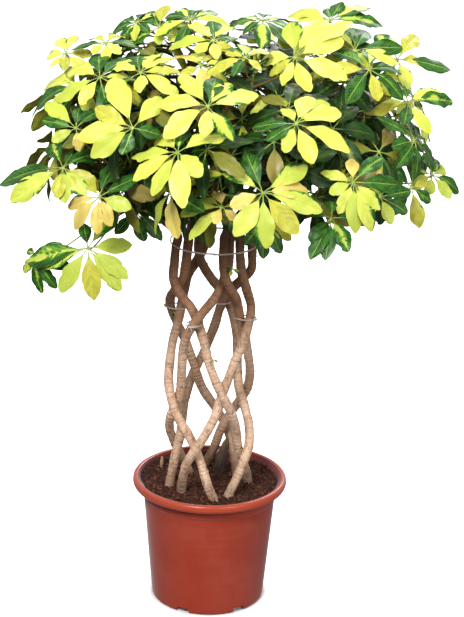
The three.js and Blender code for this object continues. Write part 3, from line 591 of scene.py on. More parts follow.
def bark_material():
    """Pale smooth bark with leaf-scar rings, browner above, soiled at the foot, and with painted shade on the
    trunk's far side.
    """
    s = Shader("bark")
    ring, = s.attributes("ring")
    y, z = s.axis(1), s.axis(2)
    broad = s.noise(s.stretched(1, 1, 0.45), 46, 3, 0.6)
    grain = s.noise(s.stretched(1, 1, 0.12), 620, 3, 0.6)
    fine = s.noise(s.place, 900, 3, 0.6)
    pale = broad.blend(0.3, 0.7, (214, 172, 140), (250, 217, 188))
    pale = grain.blend(0.45, 0.75, pale, (160, 118, 84), 0.45)
    tan = broad.blend(0.3, 0.7, (128, 88, 60), (178, 132, 98))
    brown = broad.blend(0.3, 0.7, (94, 58, 35), (134, 90, 58))
    brown = fine.blend(0.5, 0.7, brown, (78, 66, 36), 0.5)
    high = z + (broad - 0.5) * 0.16
    colour = high.blend(0.4, 0.5, pale, tan)
    colour = high.blend(0.52, 0.6, colour, brown)
    # the far side of the trunk is darkened with painted shade, and its foot is grimy
    colour = (y + (broad - 0.5) * 0.04).blend(-0.01, 0.05, colour, (112, 84, 58), 0.5)
    colour = (ring * fine.step(0.35, 0.65, 0.05, 0.6)).mix(colour, (118, 84, 58))
    colour = (z + (broad - 0.5) * 0.05).blend(0.245, 0.19, colour, (92, 62, 42), 0.55)
    speck = s.node("ShaderNodeTexVoronoi", {"Vector": s.place, "Scale": 240})
    colour = speck.blend(0.26, 0.12, colour, (122, 82, 54), 0.55)
    blotch = s.noise(s.stretched(1, 1, 0.5), 150, 4, 0.7).step(0.52, 0.68)
    colour = (blotch * 0.62).mix(colour, (126, 86, 60))
    height = (ring * -0.9 + grain * 0.5 + fine * 0.35 + blotch * -0.5
              + s.noise(s.place, 75, 2) * 1.2)
    return s.finish(colour, broad.step(0.2, 0.8, 0.55, 0.75), s.bump(height, 0.0014, 0.8))


def plastic_material():
    """Terracotta-red moulded plastic: satin below, glossier on the lip, with painted shade darkening the
    inner wall.
    """
    s = Shader("pot_plastic")
    z = s.axis(2)
    cloud = s.noise(s.place, 14, 4, 0.6)
    streak = s.noise(s.stretched(6, 6, 260), 1)
    body = cloud.blend(0.3, 0.7, (168, 58, 38), (175, 65, 44))
    body = z.blend(0.168, 0.19, body, (182, 72, 48))
    dust = (cloud + streak * 0.5).step(0.72, 1, 0, 0.1)
    colour = dust.mix(body, (188, 112, 92))
    scratch = s.noise(s.stretched(60, 60, 900), 1, 1).step(0.7, 0.76)
    colour = (scratch * 0.1).mix(colour, (200, 124, 104))
    # painted shade: the inner wall above the soil is darkened to a deep red
    painted_inner_wall_shade = s.length(s.stretched(1, 1, 0)).step(0.1128, 0.1108) * z.step(0.176, 0.182)
    colour = (painted_inner_wall_shade * 0.95).mix(colour, (104, 24, 17))
    rough = cloud * 0.07 + streak * 0.04 + dust * 0.5 + z.step(0.185, 0.19, 0.38, 0.18)
    height = streak * 0.4 + s.noise(s.place, 1500, 2) * 0.25 + scratch * -0.5
    return s.finish(colour, rough, s.bump(height, 0.0003, 0.15), Specular_IOR_Level=0.5,
                    Sheen_Weight=0.5, Sheen_Roughness=0.35)


def soil_material():
    """Dark reddish peat; a grain is browner from a pick of 0.55 up, and the pegs are pale."""
    s = Shader("peat")
    pick, = s.attributes("pick")
    lump = s.noise(s.place, 160, 5, 0.65)
    fine = s.noise(s.place, 900, 4, 0.7)
    colour = lump.blend(0.3, 0.7, (36, 20, 14), (86, 48, 34))
    colour = fine.blend(0.55, 0.75, colour, (98, 62, 46))
    colour = pick.blend(0.55, 0.8, colour, (118, 76, 56))
    colour = pick.blend(0.938, 0.944, colour, (176, 142, 116))
    return s.finish(colour, fine.step(0.2, 0.8, 0.8, 1), s.bump(lump + fine * 0.6, 0.0022, 0.9),
                    Specular_IOR_Level=0.25)


def string_material():
    """Whitish twisted string, with painted shade in the grooves between its plies."""
    s = Shader("string")
    along, turn = s.attributes("along", "turn")
    ply = (along * 2.2 + turn * 2).math("SINE")
    fuzz = s.noise(s.place, 1600)
    # painted shade: the colour is darker where the ply wave sinks into a groove
    colour = ply.blend(-1, 1, (214, 200, 186), (250, 240, 230))
    colour = fuzz.blend(0.5, 0.8, colour, (184, 164, 140), 0.4)
    return s.finish(colour, 0.85, s.bump(ply * 0.8 + fuzz * 0.5, 0.0004, 0.8), Specular_IOR_Level=0.2)


def dry_leaf_material():
    """Withered grey-brown blade, yellower at its tip."""
    s = Shader("dry_leaf")
    along, across = s.attributes("along", "across")
    away = abs(across)
    blot = s.noise(s.place, 120, 4, 0.6)
    colour = blot.blend(0.3, 0.7, (48, 35, 29), (78, 58, 46))
    colour = (along + blot * 0.5).blend(0.9, 1.3, colour, (120, 92, 48))
    line = away.step(0.1, 0.02).math("MAXIMUM", (along - away * 0.25).lines(9, 0.12) * 0.5)
    colour = (line * 0.5).mix(colour, (108, 86, 62))
    return s.finish(colour, blot.step(0.2, 0.8, 0.5, 0.8), s.bump(line + blot * 0.8, 0.0012, 0.8))


LEAFY = [leaf_material(), stalk_material()]
BARK, PLASTIC, PEAT = bark_material(), plastic_material(), soil_material()
STRING, WITHERED = string_material(), dry_leaf_material()


# ---------------- stems
def wound_at(z):
    """How far a stem has turned at a height, counted from the lowest crossing in sight."""
    knots, last = CROSSING_HEIGHTS, len(CROSSING_HEIGHTS) - 1

    def steepness(k):
        start, end = max(k - 1, 0), min(k + 1, last)
        return CROSSING_TURN * (end - start) / (knots[end] - knots[start])
    if z >= knots[last]:
        coast = TURN_FADE * (1 - math.exp((knots[last] - z) / TURN_FADE))
        return CROSSING_TURN * (last - LOWEST_IN_SIGHT) + steepness(last) * coast
    k = max(sum(knot <= z for knot in knots) - 1, 0)
    rise = knots[k + 1] - knots[k]
    t = (z - knots[k]) / rise
    return (CROSSING_TURN * (k - LOWEST_IN_SIGHT + t * t * (3 - 2 * t))
            + rise * t * (1 - t) * (steepness(k) * (1 - t) - steepness(k + 1) * t))


def trunk_centre(z):
    return np.array([-TRUNK_LEAN * (z - LEAN_FOOT) + NECK_LEAN * max(z - NECK_HEIGHT, 0), 0, 0])


def stem_azimuth(side, index, z):
    return CROSSING_AZIMUTH + side * wound_at(z) + index * 90


def trunk_point(side, index, z):
    azimuth = stem_azimuth(side, index, z)
    weave = side * WEAVE * math.cos(math.radians(4 * (azimuth - CROSSING_AZIMUTH)))
    narrower = NECK_NARROWING * max(z - NECK_HEIGHT, 0)
    return polar(azimuth, TRUNK_RADIUS + weave - narrower, z) + trunk_centre(z)


def shoot_seat(azimuth, place):
    """Where a green shoot starts at the end of its branch, and which way it heads."""
    reach, z, rise = place
    side, front = math.sin(math.radians(azimuth)), -math.cos(math.radians(azimuth))
    seat = np.array([CROWN[0] + CROWN_REACH[0] * reach * side, CROWN_REACH[1] * reach * front, z])
    return dict(seat=seat, heading=unit(np.array([side, front, rise])), leaves=[])


def make_stems():
    stems = []
    for side in (1, -1):
        for index in range(4):
            azimuth = stem_azimuth(side, index, FORK_HEIGHTS[1]) + SEAT_TURN[side]
            stems.append(dict(side=side, index=index, outer=shoot_seat(azimuth, OUTER_SEATS[side]),
                              upper=shoot_seat(azimuth + UPPER_TURN, UPPER_SEATS[index % 2])))
    return stems


def barked(builder, points, radius_at, seed):
    """A stem with leaf-scar rings, small knobs and slight crooks."""
    draw = seeded(seed)
    path, lengths = resample(points, 1.4)
    total = lengths[-1]
    sway = np.array([[math.sin(l / 21 + 9 * k + seed) * 0.75 + math.sin(l / 9.5 + 4 * k + seed) * 0.3
                      for k in range(3)] for l in lengths])
    sway *= np.clip(np.minimum(lengths, total - lengths) / 20, 0, 1)[:, None]
    radii = np.array([radius_at(l / total) for l in lengths])
    ring = np.zeros(len(lengths))
    at = 4 + 6 * draw()
    while at < total - 3:
        sharpness = 0.55 + 0.5 * draw()
        depth = 0.45 + 0.55 * draw()
        scar = np.exp(-((lengths - at) / sharpness) ** 2)
        swell = np.exp(-((lengths - at + 1.6) / 2.2) ** 2)
        radii = radii * (1 + 0.06 * depth * swell - 0.04 * depth * scar)
        ring = np.maximum(ring, depth * scar)
        at += 4.5 + 9 * draw()
    radii *= 1 + 0.035 * np.sin(lengths / 15 + seed) + 0.025 * np.sin(lengths / 6.1 + 2 * seed)
    knobs = [(draw() * total, draw() * 2 * math.pi, 1.2 + 1.6 * draw()) for _ in range(int(total / 32))]

    def section(turns, i):
        shape = 1 + 0.02 * np.sin(2 * turns + lengths[i] / 40) + 0.015 * np.sin(5 * turns + lengths[i] / 12)
        for where, turn, size in knobs:
            gap = abs(lengths[i] - where)
            if gap < 3 * size:
                facing = np.exp(-(np.sin((turns - turn) / 2) / 0.3) ** 2)
                shape = shape + 0.13 * math.exp(-(gap / size) ** 2) * facing
        return shape
    sides = 20
    builder.add(*tube(path + sway, radii, sides, section), ring=per_ring(ring, sides))


def stem_radius(t):
    woody = lerp(STEM_RADIUS_FOOT, STEM_RADIUS_TOP, min(t / TAPER_FROM, 1))
    return min(woody, lerp(STEM_RADIUS_TOP, BRANCH_RADIUS_END, max(t - TAPER_FROM, 0) / (1 - TAPER_FROM)))


def branch_radius(t):
    return lerp(BRANCH_RADIUS, BRANCH_RADIUS_END, t)


def build_stems(stems):
    for number, stem in enumerate(stems):
        builder = Builder("ring")
        outer, upper = stem["outer"], stem["upper"]

        def woven(heights):
            return [trunk_point(stem["side"], stem["index"], z) for z in heights]
        foot, top = SOIL_LEVEL - PLANTING_DEPTH, outer["seat"][2] - BEND_BELOW_SEAT
        main = woven(np.linspace(foot, top, TRUNK_POINTS + 1))
        main += [outer["seat"] - OUTER_LEAD * outer["heading"], outer["seat"]]
        barked(builder, catmull(main, 12), stem_radius, 11 + number)
        fork = woven(FORK_HEIGHTS) + [upper["seat"] - UPPER_LEAD * upper["heading"], upper["seat"]]
        barked(builder, catmull(fork, 12), branch_radius, 31 + number)
        builder.make(f"woven_stem_{number + 1}", [BARK], nodes=[f"stem_{number + 1}"])


# ---------------- where the leaves are
def dome_place(height, turn, scale):
    """A point of the crown's dome, drawn in by scale; height goes from 1 at the top to -1."""
    ring = math.sqrt(1 - height * height)
    tall = CROWN_REACH[2] if height > 0 else CROWN_DROP
    return CROWN + scale * np.array([CROWN_REACH[0] * ring * math.sin(turn),
                                     -CROWN_REACH[1] * ring * math.cos(turn), tall * height])


def dome_normal(hub):
    height = CROWN_REACH[2] if hub[2] > CROWN[2] else CROWN_DROP
    return unit((hub - CROWN) / np.array([CROWN_REACH[0], CROWN_REACH[1], height]) ** 2)


def has_room(hub, leaves, spacing):
    return all(np.linalg.norm(leaf["hub"] - hub) > spacing for leaf in leaves)


def rule_colours(seed, count, hub):
    draw = seeded(5000 + seed)
    depth = np.linalg.norm((hub - CROWN) / np.array([CROWN_REACH[0], CROWN_REACH[1], 160.0]))
    mood = (hub[2] - 690) / 200 + 0.5 * (depth - 0.8) + spread(draw, 0.5)
    palette = next(codes for least, codes in MOODS if mood > least)
    return "".join(palette[int(draw() * len(palette))] for _ in range(count))


def rule_leaves(rule, taken):
    """The frame's leaves along a golden-angle spiral, where the listed leaves leave room."""
    leaves = []
    for i in range(rule["count"]):
        seed = rule["seed"] + i
        draw = seeded(seed)
        height = lerp(rule["top"], rule["bottom"], (i + 0.5) / rule["count"])
        hub = dome_place(height, i * GOLDEN_ANGLE + spread(draw, 0.12), rule["scale"])
        hub = hub - dome_normal(hub) * rule["layer"] * (i % 3)
        spin = 360 * draw()
        radius = rule["radius"] + spread(draw, 8)
        if i not in rule["bare"] and has_room(hub, taken, rule["spacing"]):
            leaves.append(dict(seed=seed, hub=hub, spin=spin, radius=radius,
                               colours=rule_colours(seed, 6 + i % 2, hub)))
    return leaves


def shade_leaves(taken):
    """Leaves deep in the crown, which only the scene has: behind the others, and darkened with painted shade.
    """
    leaves = []
    for i in range(SHADE_LEAVES):
        draw = seeded(SHADE_SEED + i)
        height = lerp(0.86, -0.7, (i + 0.5) / SHADE_LEAVES)
        turn = i * GOLDEN_ANGLE + spread(draw, 0.3)
        hub = dome_place(height, turn, 0.42 + 0.44 * math.sqrt(draw()))
        hub[2] += 10
        radius, spin = 56 + 12 * draw(), 360 * draw()
        colours = "".join(SHADE_COLOURS[int(draw() * len(SHADE_COLOURS))] for _ in range(6 + i % 2))
        if has_room(hub, taken + leaves, SHADE_SPACING):
            leaves.append(dict(seed=SHADE_SEED + i, hub=hub, spin=spin, radius=radius, colours=colours,
                               shade=True))
    return leaves


def all_leaves():
    listed = []
    for i, (x, y, z, turn, rise, radius, leaflets) in enumerate(FRONT_LEAVES):
        own = [(part[0], *map(float, part[1:].split("/"))) for part in leaflets.split()]
        listed.append(dict(seed=i, hub=np.array([x, y, z], float), face=(turn, rise), radius=radius,
                           colours=[code for code, _, _ in own], own=own))
    outer = rule_leaves(OUTER_RULE, listed)
    inner = rule_leaves(INNER_RULE, listed + outer)
    return listed + outer + inner


def share_leaves(shoots, leaves):
    """Gives each leaf to the nearest shoot; a shoot bears them in order from its foot."""
    for leaf in leaves:
        nearest = min(shoots, key=lambda s: np.linalg.norm(
            s["seat"] + s["heading"] * SHOOT_LENGTH / 2 - leaf["hub"]))
        nearest["leaves"].append(leaf)
    for shoot in shoots:
        shoot["leaves"].sort(key=lambda leaf: leaf["hub"].dot(shoot["heading"]))


# ---------------- leaves
def in_blade(way, upper):
    """The part of a way that lies in a blade whose upper side faces upper."""
    return unit(way - upper * upper.dot(way))


def leaf_axes(leaf, root):
    """The way a leaf's upper side faces, and the way down along its blade."""
    if "face" in leaf:
        turn, rise = map(math.radians, leaf["face"])
        upper = np.array([math.sin(turn) * math.cos(rise), -math.cos(turn) * math.cos(rise), math.sin(rise)])
        down = in_blade(-UP, upper)
    else:
        stretch = unit(leaf["hub"] - root)
        upper = unit(dome_normal(leaf["hub"]) * 0.5 + UP * 0.42 + stretch * 0.2)
        down = in_blade(-UP, upper)
        upper = turned_about(upper, down, LEAF_ROLL)
    return upper, down


def leaf_frame(hub, upper, down, angle):
    """Places points by their distance out along a leaflet, to its side and above it."""
    turn, across = math.radians(angle), np.cross(upper, down)
    out = across * math.sin(turn) + down * math.cos(turn)
    side = across * math.cos(turn) - down * math.sin(turn)

    def place(a, b, h):
        return hub + a[..., None] * out + b[..., None] * side + h[..., None] * upper
    return place


def leaflet(builder, frame_of, reach, half, radius, droop, draw, code, thick=BLADE_THICK, **looks):
    """One leaflet: a stalk, and a closed arched blade with a rib, a fold and waved margins."""
    along = np.linspace(0, 1, BLADE_ROWS) ** 0.92
    start = reach * (0.15 + spread(draw, 0.02))
    extra, bend, twist = spread(draw, 0.09) + 0.03, spread(draw, 0.07), math.radians(spread(draw, 24))
    fold, cup = 0.12 + 0.22 * draw(), 0.1 + 0.2 * draw()
    fullest = 1.22 + 0.26 * draw()
    blunt = 0.78 - (0.12 + 0.22 * draw()) * along ** 2
    width = half * np.sin(math.pi * np.clip(along, 0.012, 0.995) ** fullest) ** blunt
    sides = [width.copy(), width.copy()]
    for side in sides:                                    # shallow teeth towards the tip
        for _ in range(2):
            if draw() < 0.55:
                at, deep = 0.62 + 0.34 * draw(), 0.1 + 0.14 * draw()
                side *= 1 - deep * np.exp(-((along - at) / 0.05) ** 2)
    waves = [2 * math.pi * draw(), 2 * math.pi * draw(), 1.6 + 1.4 * draw(), 1.6 + 1.4 * draw()]
    # t runs along the blade and s across it; a is the way out, w the half width, off the way aside
    t, s = along[:, None], BLADE_COLUMNS[None, :]
    a = start + (reach - start) * t
    w = np.where(s < 0, sides[0][:, None], sides[1][:, None])
    off = s * w
    phase = np.where(s < 0, waves[0] + 2 * math.pi * waves[2] * t, waves[1] + 2 * math.pi * waves[3] * t)
    rise = fold * (np.sqrt(off ** 2 + 0.6) - 0.77) - cup * off ** 2 / half
    rise = rise + 0.11 * w * s ** 2 * np.sin(phase) - 0.25 * np.exp(-(s / 0.14) ** 2) * np.sin(math.pi * t)
    angle = twist * t
    h = (off * np.sin(angle) + rise - droop * a ** 2 / radius - extra * reach * t ** 2.4
         + 1.2 * np.sin(math.pi * np.clip(t * 1.5, 0, 1)))
    grid = frame_of(a + 0 * s, off * np.cos(angle) + bend * reach * t ** 2, h)
    depth = thick * (0.5 + 0.5 * (1 - s ** 2)) + 0.9 * np.exp(-(s / 0.15) ** 2) * (1 - 0.75 * t)
    under = np.repeat([0, 1], grid.shape[0] * grid.shape[1])
    share, vary, warm = COLOURS[code]
    builder.add(*slab(grid, depth[:, :, None]), BLADE, along=on_slab(t, grid), across=on_slab(s, grid),
                under=under, pick=draw(), gold=share + spread(draw, vary), warm=warm + spread(draw, 0.15),
                **looks)
    stalk = np.array([1.2, 0.35 * start, 0.75 * start, start, start + 0.1 * reach, start + 0.2 * reach])
    lift = np.array([0.3, 0.6, 0.7, 0.4, -0.1, -0.2]) - droop * stalk ** 2 / radius
    builder.add(*tube(frame_of(stalk, 0 * stalk, lift), [1.1, 0.8, 0.75, 0.95, 0.75, 0.35], 7), GREEN,
                pick=0.3)


def leaf(builder, item, root):
    """A palmate leaf: its leaflets, the petiole from root to hub, and the small knob there."""
    upper, down = leaf_axes(item, root)
    hub, radius, colours = item["hub"], item["radius"], item["colours"]
    pitch = 360 / len(colours)
    draw = seeded(7000 + item["seed"])
    look = seeded(9000 + item["seed"])
    droop = LEAF_DROOP + (0 if "own" in item else spread(draw, 0.08))
    lime = min(max((GREENER_BELOW - hub[2]) / GREENER_OVER, 0), 1)
    for i, code in enumerate(colours):
        if "own" in item:
            _, angle, reach = item["own"][i]
        else:
            angle = item["spin"] + pitch * i + spread(draw, 3)
            reach = radius * (1 + spread(draw, 0.1))
        half = lerp(radius, reach, 0.6) * LEAFLET_HALF_WIDTH * min(1, pitch / 43) * (1 + spread(look, 0.1))
        # a shade leaf gets painted shade through inner
        leaflet(builder, leaf_frame(hub, upper, down, angle), reach, half, radius, droop, look, code,
                lime=lime, inner=float("shade" in item))
    count, sides = 16, 9
    span = np.linalg.norm(hub - root)
    line = bezier(root, hub - upper * PETIOLE_ARCH * span, hub - upper * 0.4, count)
    t = np.linspace(0, 1, count)
    radii = 1.15 + 1.3 * np.exp(-(t / 0.07) ** 2) + 0.6 * np.exp(-((1 - t) / 0.05) ** 2)
    builder.add(*tube(line, radii, sides), GREEN, woody=per_ring(0.5 * np.exp(-(t / 0.1) ** 2), sides),
                pick=look())
    verts, faces = ball(6, 12)
    axes = np.array([np.cross(upper, down), down, upper])
    knob = (verts * (1.9, 1.9, 1.2)) @ axes + hub + upper * 0.2
    builder.add(knob, faces, GREEN, woody=0.1, pick=0.3)


def young_leaf(builder, root, heading, draw, size, code):
    """A small unfolding leaf: its leaflets still point forward."""
    side = unit(np.cross(heading, [spread(draw, 1), spread(draw, 1), 0.3]))
    hub = root + heading * size * 1.1 + side * size * 0.35
    line = bezier(root, root + heading * size * 0.7, hub, 8)
    builder.add(*tube(line, np.linspace(1.1, 0.7, 8), 7), GREEN, pick=0.1)
    upper = unit(heading + side * 0.3)
    down = in_blade(-side, upper)
    for i in range(5):
        place = leaf_frame(hub, upper, down, 72 * i + spread(draw, 8))
        reach = size * (0.85 + 0.3 * draw())
        leaflet(builder, place, reach, reach * 0.2, size, -0.75, draw, code, thick=0.4)


def build_shoots(stems):
    shoots = [shoot for stem in stems for shoot in (stem["outer"], stem["upper"])]
    leaves = all_leaves()
    share_leaves(shoots, leaves + shade_leaves(leaves))
    for number, shoot in enumerate(shoots):
        builder = Builder(*LEAFY_VALUES)
        draw = seeded(400 + number)
        seat, heading = shoot["seat"], shoot["heading"]
        t = np.linspace(0, 1, 40)
        line = seat + heading * (0.3 + (SHOOT_LENGTH - 0.3) * t)[:, None]
        radii = SHOOT_RADIUS * (1 - 0.4 * t) * (1 + 0.06 * np.sin(t * 44 + number))
        sides = 14
        builder.add(*tube(line, radii, sides), GREEN, woody=per_ring(0.75 * (1 - t), sides), pick=0.2)
        own = [item for item in shoot["leaves"] if "shade" not in item]
        for i, item in enumerate(own):
            height = (0.2 + 0.75 * (i + 0.5) / len(own)) * SHOOT_LENGTH
            leaf(builder, item, seat + heading * height)
        for item in shoot["leaves"]:
            if "shade" in item:
                leaf(builder, item, seat + heading * SHOOT_LENGTH * (0.08 + 0.88 * draw()))
        for _ in range(2):
            young_leaf(builder, seat + heading * SHOOT_LENGTH * 0.96, heading, draw, 12 + 8 * draw(),
                       "gyY"[int(draw() * 3)])
        builder.make(f"foliage_{number + 1}", LEAFY, sharp=60,
                     nodes=[f"leafy_shoot_{number + 1}"])


def build_sprouts():
    """Three small sprouts that the woven stems bear below the crown."""
    builder = Builder(*LEAFY_VALUES)
    draw = seeded(910)
    upper = unit(np.array([0.1, -0.9, 0.45]))
    down = in_blade(-UP, upper)
    for side, index, z, out, size, codes in SPROUTS:
        centre, out = trunk_point(side, index, z), np.array(out, float)
        root = centre + unit(out) * (STEM_RADIUS_TOP - 0.6)
        hub = centre + unit(out) * (STEM_RADIUS_TOP + np.linalg.norm(out) * 0.55)
        builder.add(*tube(bezier(root, (root + hub) / 2 + UP * 2, hub, 8), 0.9, 7), GREEN,
                    woody=0.1, pick=0.3)
        for i, code in enumerate(codes):
            place = leaf_frame(hub, upper, down, 70 - 75 * i + spread(draw, 8))
            leaflet(builder, place, size * (1 - 0.12 * i), size * 0.24, size, 0.25, draw, code)
    builder.make("stem_sprouts", LEAFY, sharp=60)


# ---------------- pot
def pot_outline():
    """The pot's section: underside, outer wall, shoulder band, rolled lip, inner wall and floor."""
    return [
        (0, 0), (FOOT_DISC_RADIUS, 0), (FOOT_DISC_RADIUS + 2, FOOT_RECESS),
        (FOOT_RIB_RADIUS - 2, FOOT_RECESS), (FOOT_RIB_RADIUS, 0),
        (BASE_RADIUS - 2, 0), (BASE_RADIUS, FOOT_RECESS), (BODY_TOP_RADIUS, SHOULDER_Z - 1.5),
        (BODY_TOP_RADIUS + 1.6, SHOULDER_Z), (BODY_TOP_RADIUS + WALL, LIP_Z - 1),
        (RIM_RADIUS - 2, LIP_Z), (RIM_RADIUS, LIP_Z + 4), (RIM_RADIUS - 0.8, POT_HEIGHT - WALL),
        (RIM_RADIUS - 3.6, POT_HEIGHT), (RIM_INNER_RADIUS, POT_HEIGHT - 0.4),
        (RIM_INNER_RADIUS - 3.5, POT_HEIGHT - 4), (BODY_TOP_RADIUS - 0.6, LIP_Z - 2),
        (BODY_TOP_RADIUS - WALL, SHOULDER_Z - 2), (BASE_RADIUS - WALL, FLOOR), (0, FLOOR),
    ]


def notch_cutter():
    """Blocks round the heel that cut the drain notches."""
    sides = [(0, 3, 2, 1), (4, 5, 6, 7), (0, 1, 5, 4), (1, 2, 6, 5), (2, 3, 7, 6), (3, 0, 4, 7)]
    builder = Builder()
    x, y = DRAIN_WIDTH / 2, DRAIN_CUT_DEPTH / 2
    for i in range(DRAIN_COUNT):
        corners = np.array([(a, b - BASE_RADIUS, z) for z in (-1, DRAIN_HEIGHT)
                            for a, b in ((-x, -y), (x, -y), (x, y), (-x, y))])
        corners[4:, 0] *= DRAIN_TAPER
        a = math.radians(DRAIN_FIRST_AZIMUTH + 360 / DRAIN_COUNT * i)
        turn = [[math.cos(a), math.sin(a), 0], [-math.sin(a), math.cos(a), 0], [0, 0, 1]]
        builder.add(corners @ turn, sides)
    return put("notches", builder.mesh("notches"))


def build_pot():
    builder = Builder()
    builder.add(*lathe(rounded(pot_outline(), 1.6, 5), 180))
    pot = builder.make("nursery_pot", [PLASTIC], nodes=["pot"])
    cutter = notch_cutter()
    cut = pot.modifiers.new("notches", "BOOLEAN")
    cut.operation, cut.solver, cut.object = "DIFFERENCE", "EXACT", cutter
    bpy.context.view_layer.update()
    done = bpy.data.meshes.new_from_object(pot.evaluated_get(bpy.context.evaluated_depsgraph_get()))
    pot.modifiers.clear()
    pot.data = done
    bpy.data.objects.remove(cutter)
    done.polygons.foreach_set("use_smooth", [True] * len(done.polygons))
    done.set_sharp_from_angle(angle=math.radians(42))


# ---------------- soil
def soil_height(x, y):
    """The lumpy surface, which climbs at the pot's wall, though less at the back right."""
    lump = np.sin(x * 0.13 + 1) * np.cos(y * 0.11) + 0.6 * np.sin(x * 0.31 - y * 0.27)
    fine = np.sin(x * 0.9 + 2) * np.cos(y * 0.8) * 0.35 + np.sin(x * 0.47 + y * 0.7) * 0.5
    ring = np.sqrt(x * x + y * y)
    climb = 11.8 - 5.4 * np.clip((x + y) / np.maximum(ring, 1) / 1.3, 0, 1)
    against_wall = np.clip((ring - 84) / 23.5, 0, 1) ** 1.5
    return SOIL_LEVEL + (1.44 * lump + 0.5 * fine) * (1 - 0.6 * against_wall) + climb * against_wall


def soil_place(draw, reach):
    """A random place on the soil, no more than reach from the middle."""
    r, a = reach * math.sqrt(draw()), 2 * math.pi * draw()
    x, y = r * math.cos(a), r * math.sin(a)
    return np.array([x, y, soil_height(x, y)])


def crumb(draw, centre, size):
    """A lumpy crumb or chip with its own tilt."""
    tilt = Matrix.Rotation(draw() * 6.28, 3, Vector((spread(draw, 1), spread(draw, 1), 1)).normalized())
    verts, faces = ball(4, 6)
    wobble = np.array([1 + spread(draw, 0.28) for _ in range(len(verts))])[:, None]
    return (verts * wobble * size) @ np.array(tilt) + centre, faces


def build_soil():
    builder = Builder("pick")
    buried = [(0, 12), (84, 12), (98.6, 160), (101.2, 183.4)]
    surface = [(r, SOIL_LEVEL) for r in np.linspace(107.8, 4, 50)]
    verts, faces = lathe(buried + surface + [(0, SOIL_LEVEL)], 150)
    top = verts[:, 2] > SOIL_LEVEL - 0.5
    verts[top, 2] = soil_height(verts[top, 0], verts[top, 1])
    builder.add(verts, faces, pick=PEAT_PICK)
    draw = seeded(77)
    for _ in range(CRUMBS):
        at = soil_place(draw, CRUMB_REACH)
        size = 0.7 + 2.0 * draw() ** 2.2
        shape = size * np.array([0.8 + 0.7 * draw(), 0.7 + 0.5 * draw(), 0.45 + 0.4 * draw()])
        builder.add(*crumb(draw, at + UP * 0.25 * size, shape),
                    pick=draw() * 0.8 if draw() < 0.997 else BROWN_GRAIN_PICK)
    for _ in range(CHIPS):                                # bark chips lie flat
        at = soil_place(draw, CHIP_REACH)
        size = 2.2 + 4.2 * draw()
        shape = np.array([size, size * (0.35 + 0.3 * draw()), 0.5 + 0.5 * draw()])
        builder.add(*crumb(draw, at + UP * 0.6, shape), pick=0.5 + 0.43 * draw())
    for _ in range(FIBRES):
        p = soil_place(draw, FIBRE_REACH) + UP * 0.3
        turn, span = 6.28 * draw(), 5 + 12 * draw()
        ahead = np.array([math.cos(turn), math.sin(turn), 0])
        aside = np.array([-ahead[1], ahead[0], 0])
        q = p + ahead * span + UP * spread(draw, 0.8)
        if math.hypot(q[0], q[1]) > FIBRE_END:
            q = p - ahead * span
        middle = (p + q) / 2 + aside * spread(draw, 0.3) * span + UP * (1 + 2.5 * draw())
        builder.add(*tube(bezier(p, middle, q, 8), np.linspace(0.42, 0.22, 8), 5),
                    pick=0.6 + 0.34 * draw())
    for x, y, rise, lean, thick in PEGS:                  # pale broken pegs
        foot = np.array([x, y, soil_height(x, y) - 4])
        line = [foot, foot + np.array([lean * 0.6, 0.3, rise * 0.6]), foot + np.array([lean, 0.8, rise])]
        builder.add(*tube(line, [thick, thick, thick * 0.55], 8), pick=PEG_PICK)
    builder.make("potting_soil", [PEAT], nodes=["soil"])


# ---------------- small pieces
def string_loop(builder, path, radius):
    path, lengths = resample(path, 0.9)
    sides = 8
    turn = np.concatenate([[0], np.tile(angles(sides), len(path)), [0]])
    builder.add(*tube(path, radius, sides), along=per_ring(lengths, sides), turn=turn)


def build_tie(number):
    """A string wound twice round a crossing, with a knot at the front and two loose ends."""
    builder = Builder("along", "turn")
    ahead = polar(CROSSING_AZIMUTH + 90 * number, 1, 0)
    aside = np.array([-ahead[1], ahead[0], 0])
    centre = trunk_centre(TIE_LEVEL) + ahead * TRUNK_RADIUS + UP * TIE_LEVEL
    per_turn = 60
    loop = []
    for k in range(2 * per_turn + 11):
        turn = 2 * math.pi * k / per_turn - 0.3
        out, wide = 17.6 + 0.2 * math.sin(3 * turn), 11.4 + 0.2 * math.cos(2 * turn)
        climb = k / per_turn - 1 + 0.3 * math.sin(turn + number)
        loop.append(centre + ahead * out * math.cos(turn) + aside * wide * math.sin(turn) + UP * climb)
    string_loop(builder, loop, 0.62)
    knot = centre + ahead * 18.2
    string_loop(builder, [knot - aside * 2 - UP, knot + aside * 1.6 + ahead * 0.6 + UP,
                          knot + aside * 0.4 + ahead * 1.0 - UP, knot - aside * 1.6 + ahead * 0.4 + UP], 0.6)
    draw = seeded(60 + number)
    for way in (-1, 1):
        tip = knot + aside * way * (3 + 3 * draw()) - UP * (6 + 5 * draw())
        string_loop(builder, bezier(knot, knot + aside * way * 4 + ahead, tip, 9), 0.5)
    builder.make(f"string_tie_{number + 1}", [STRING], nodes=[f"tie_{number + 1}"])


def build_band():
    """A string wound twice round the top of the trunk."""
    builder = Builder("along", "turn")
    per_turn = 180
    loop = []
    for k in range(2 * per_turn + 2):
        turn = 2 * math.pi * k / per_turn
        climb = 1.12 * k / per_turn - 0.8 + 0.35 * math.sin(3 * turn + 1)
        loop.append(trunk_centre(BAND_LEVEL) + polar(360 * k / per_turn, BAND_RADIUS, BAND_LEVEL + climb))
    string_loop(builder, loop, 0.75)
    builder.make("top_string", [STRING], nodes=["band"])


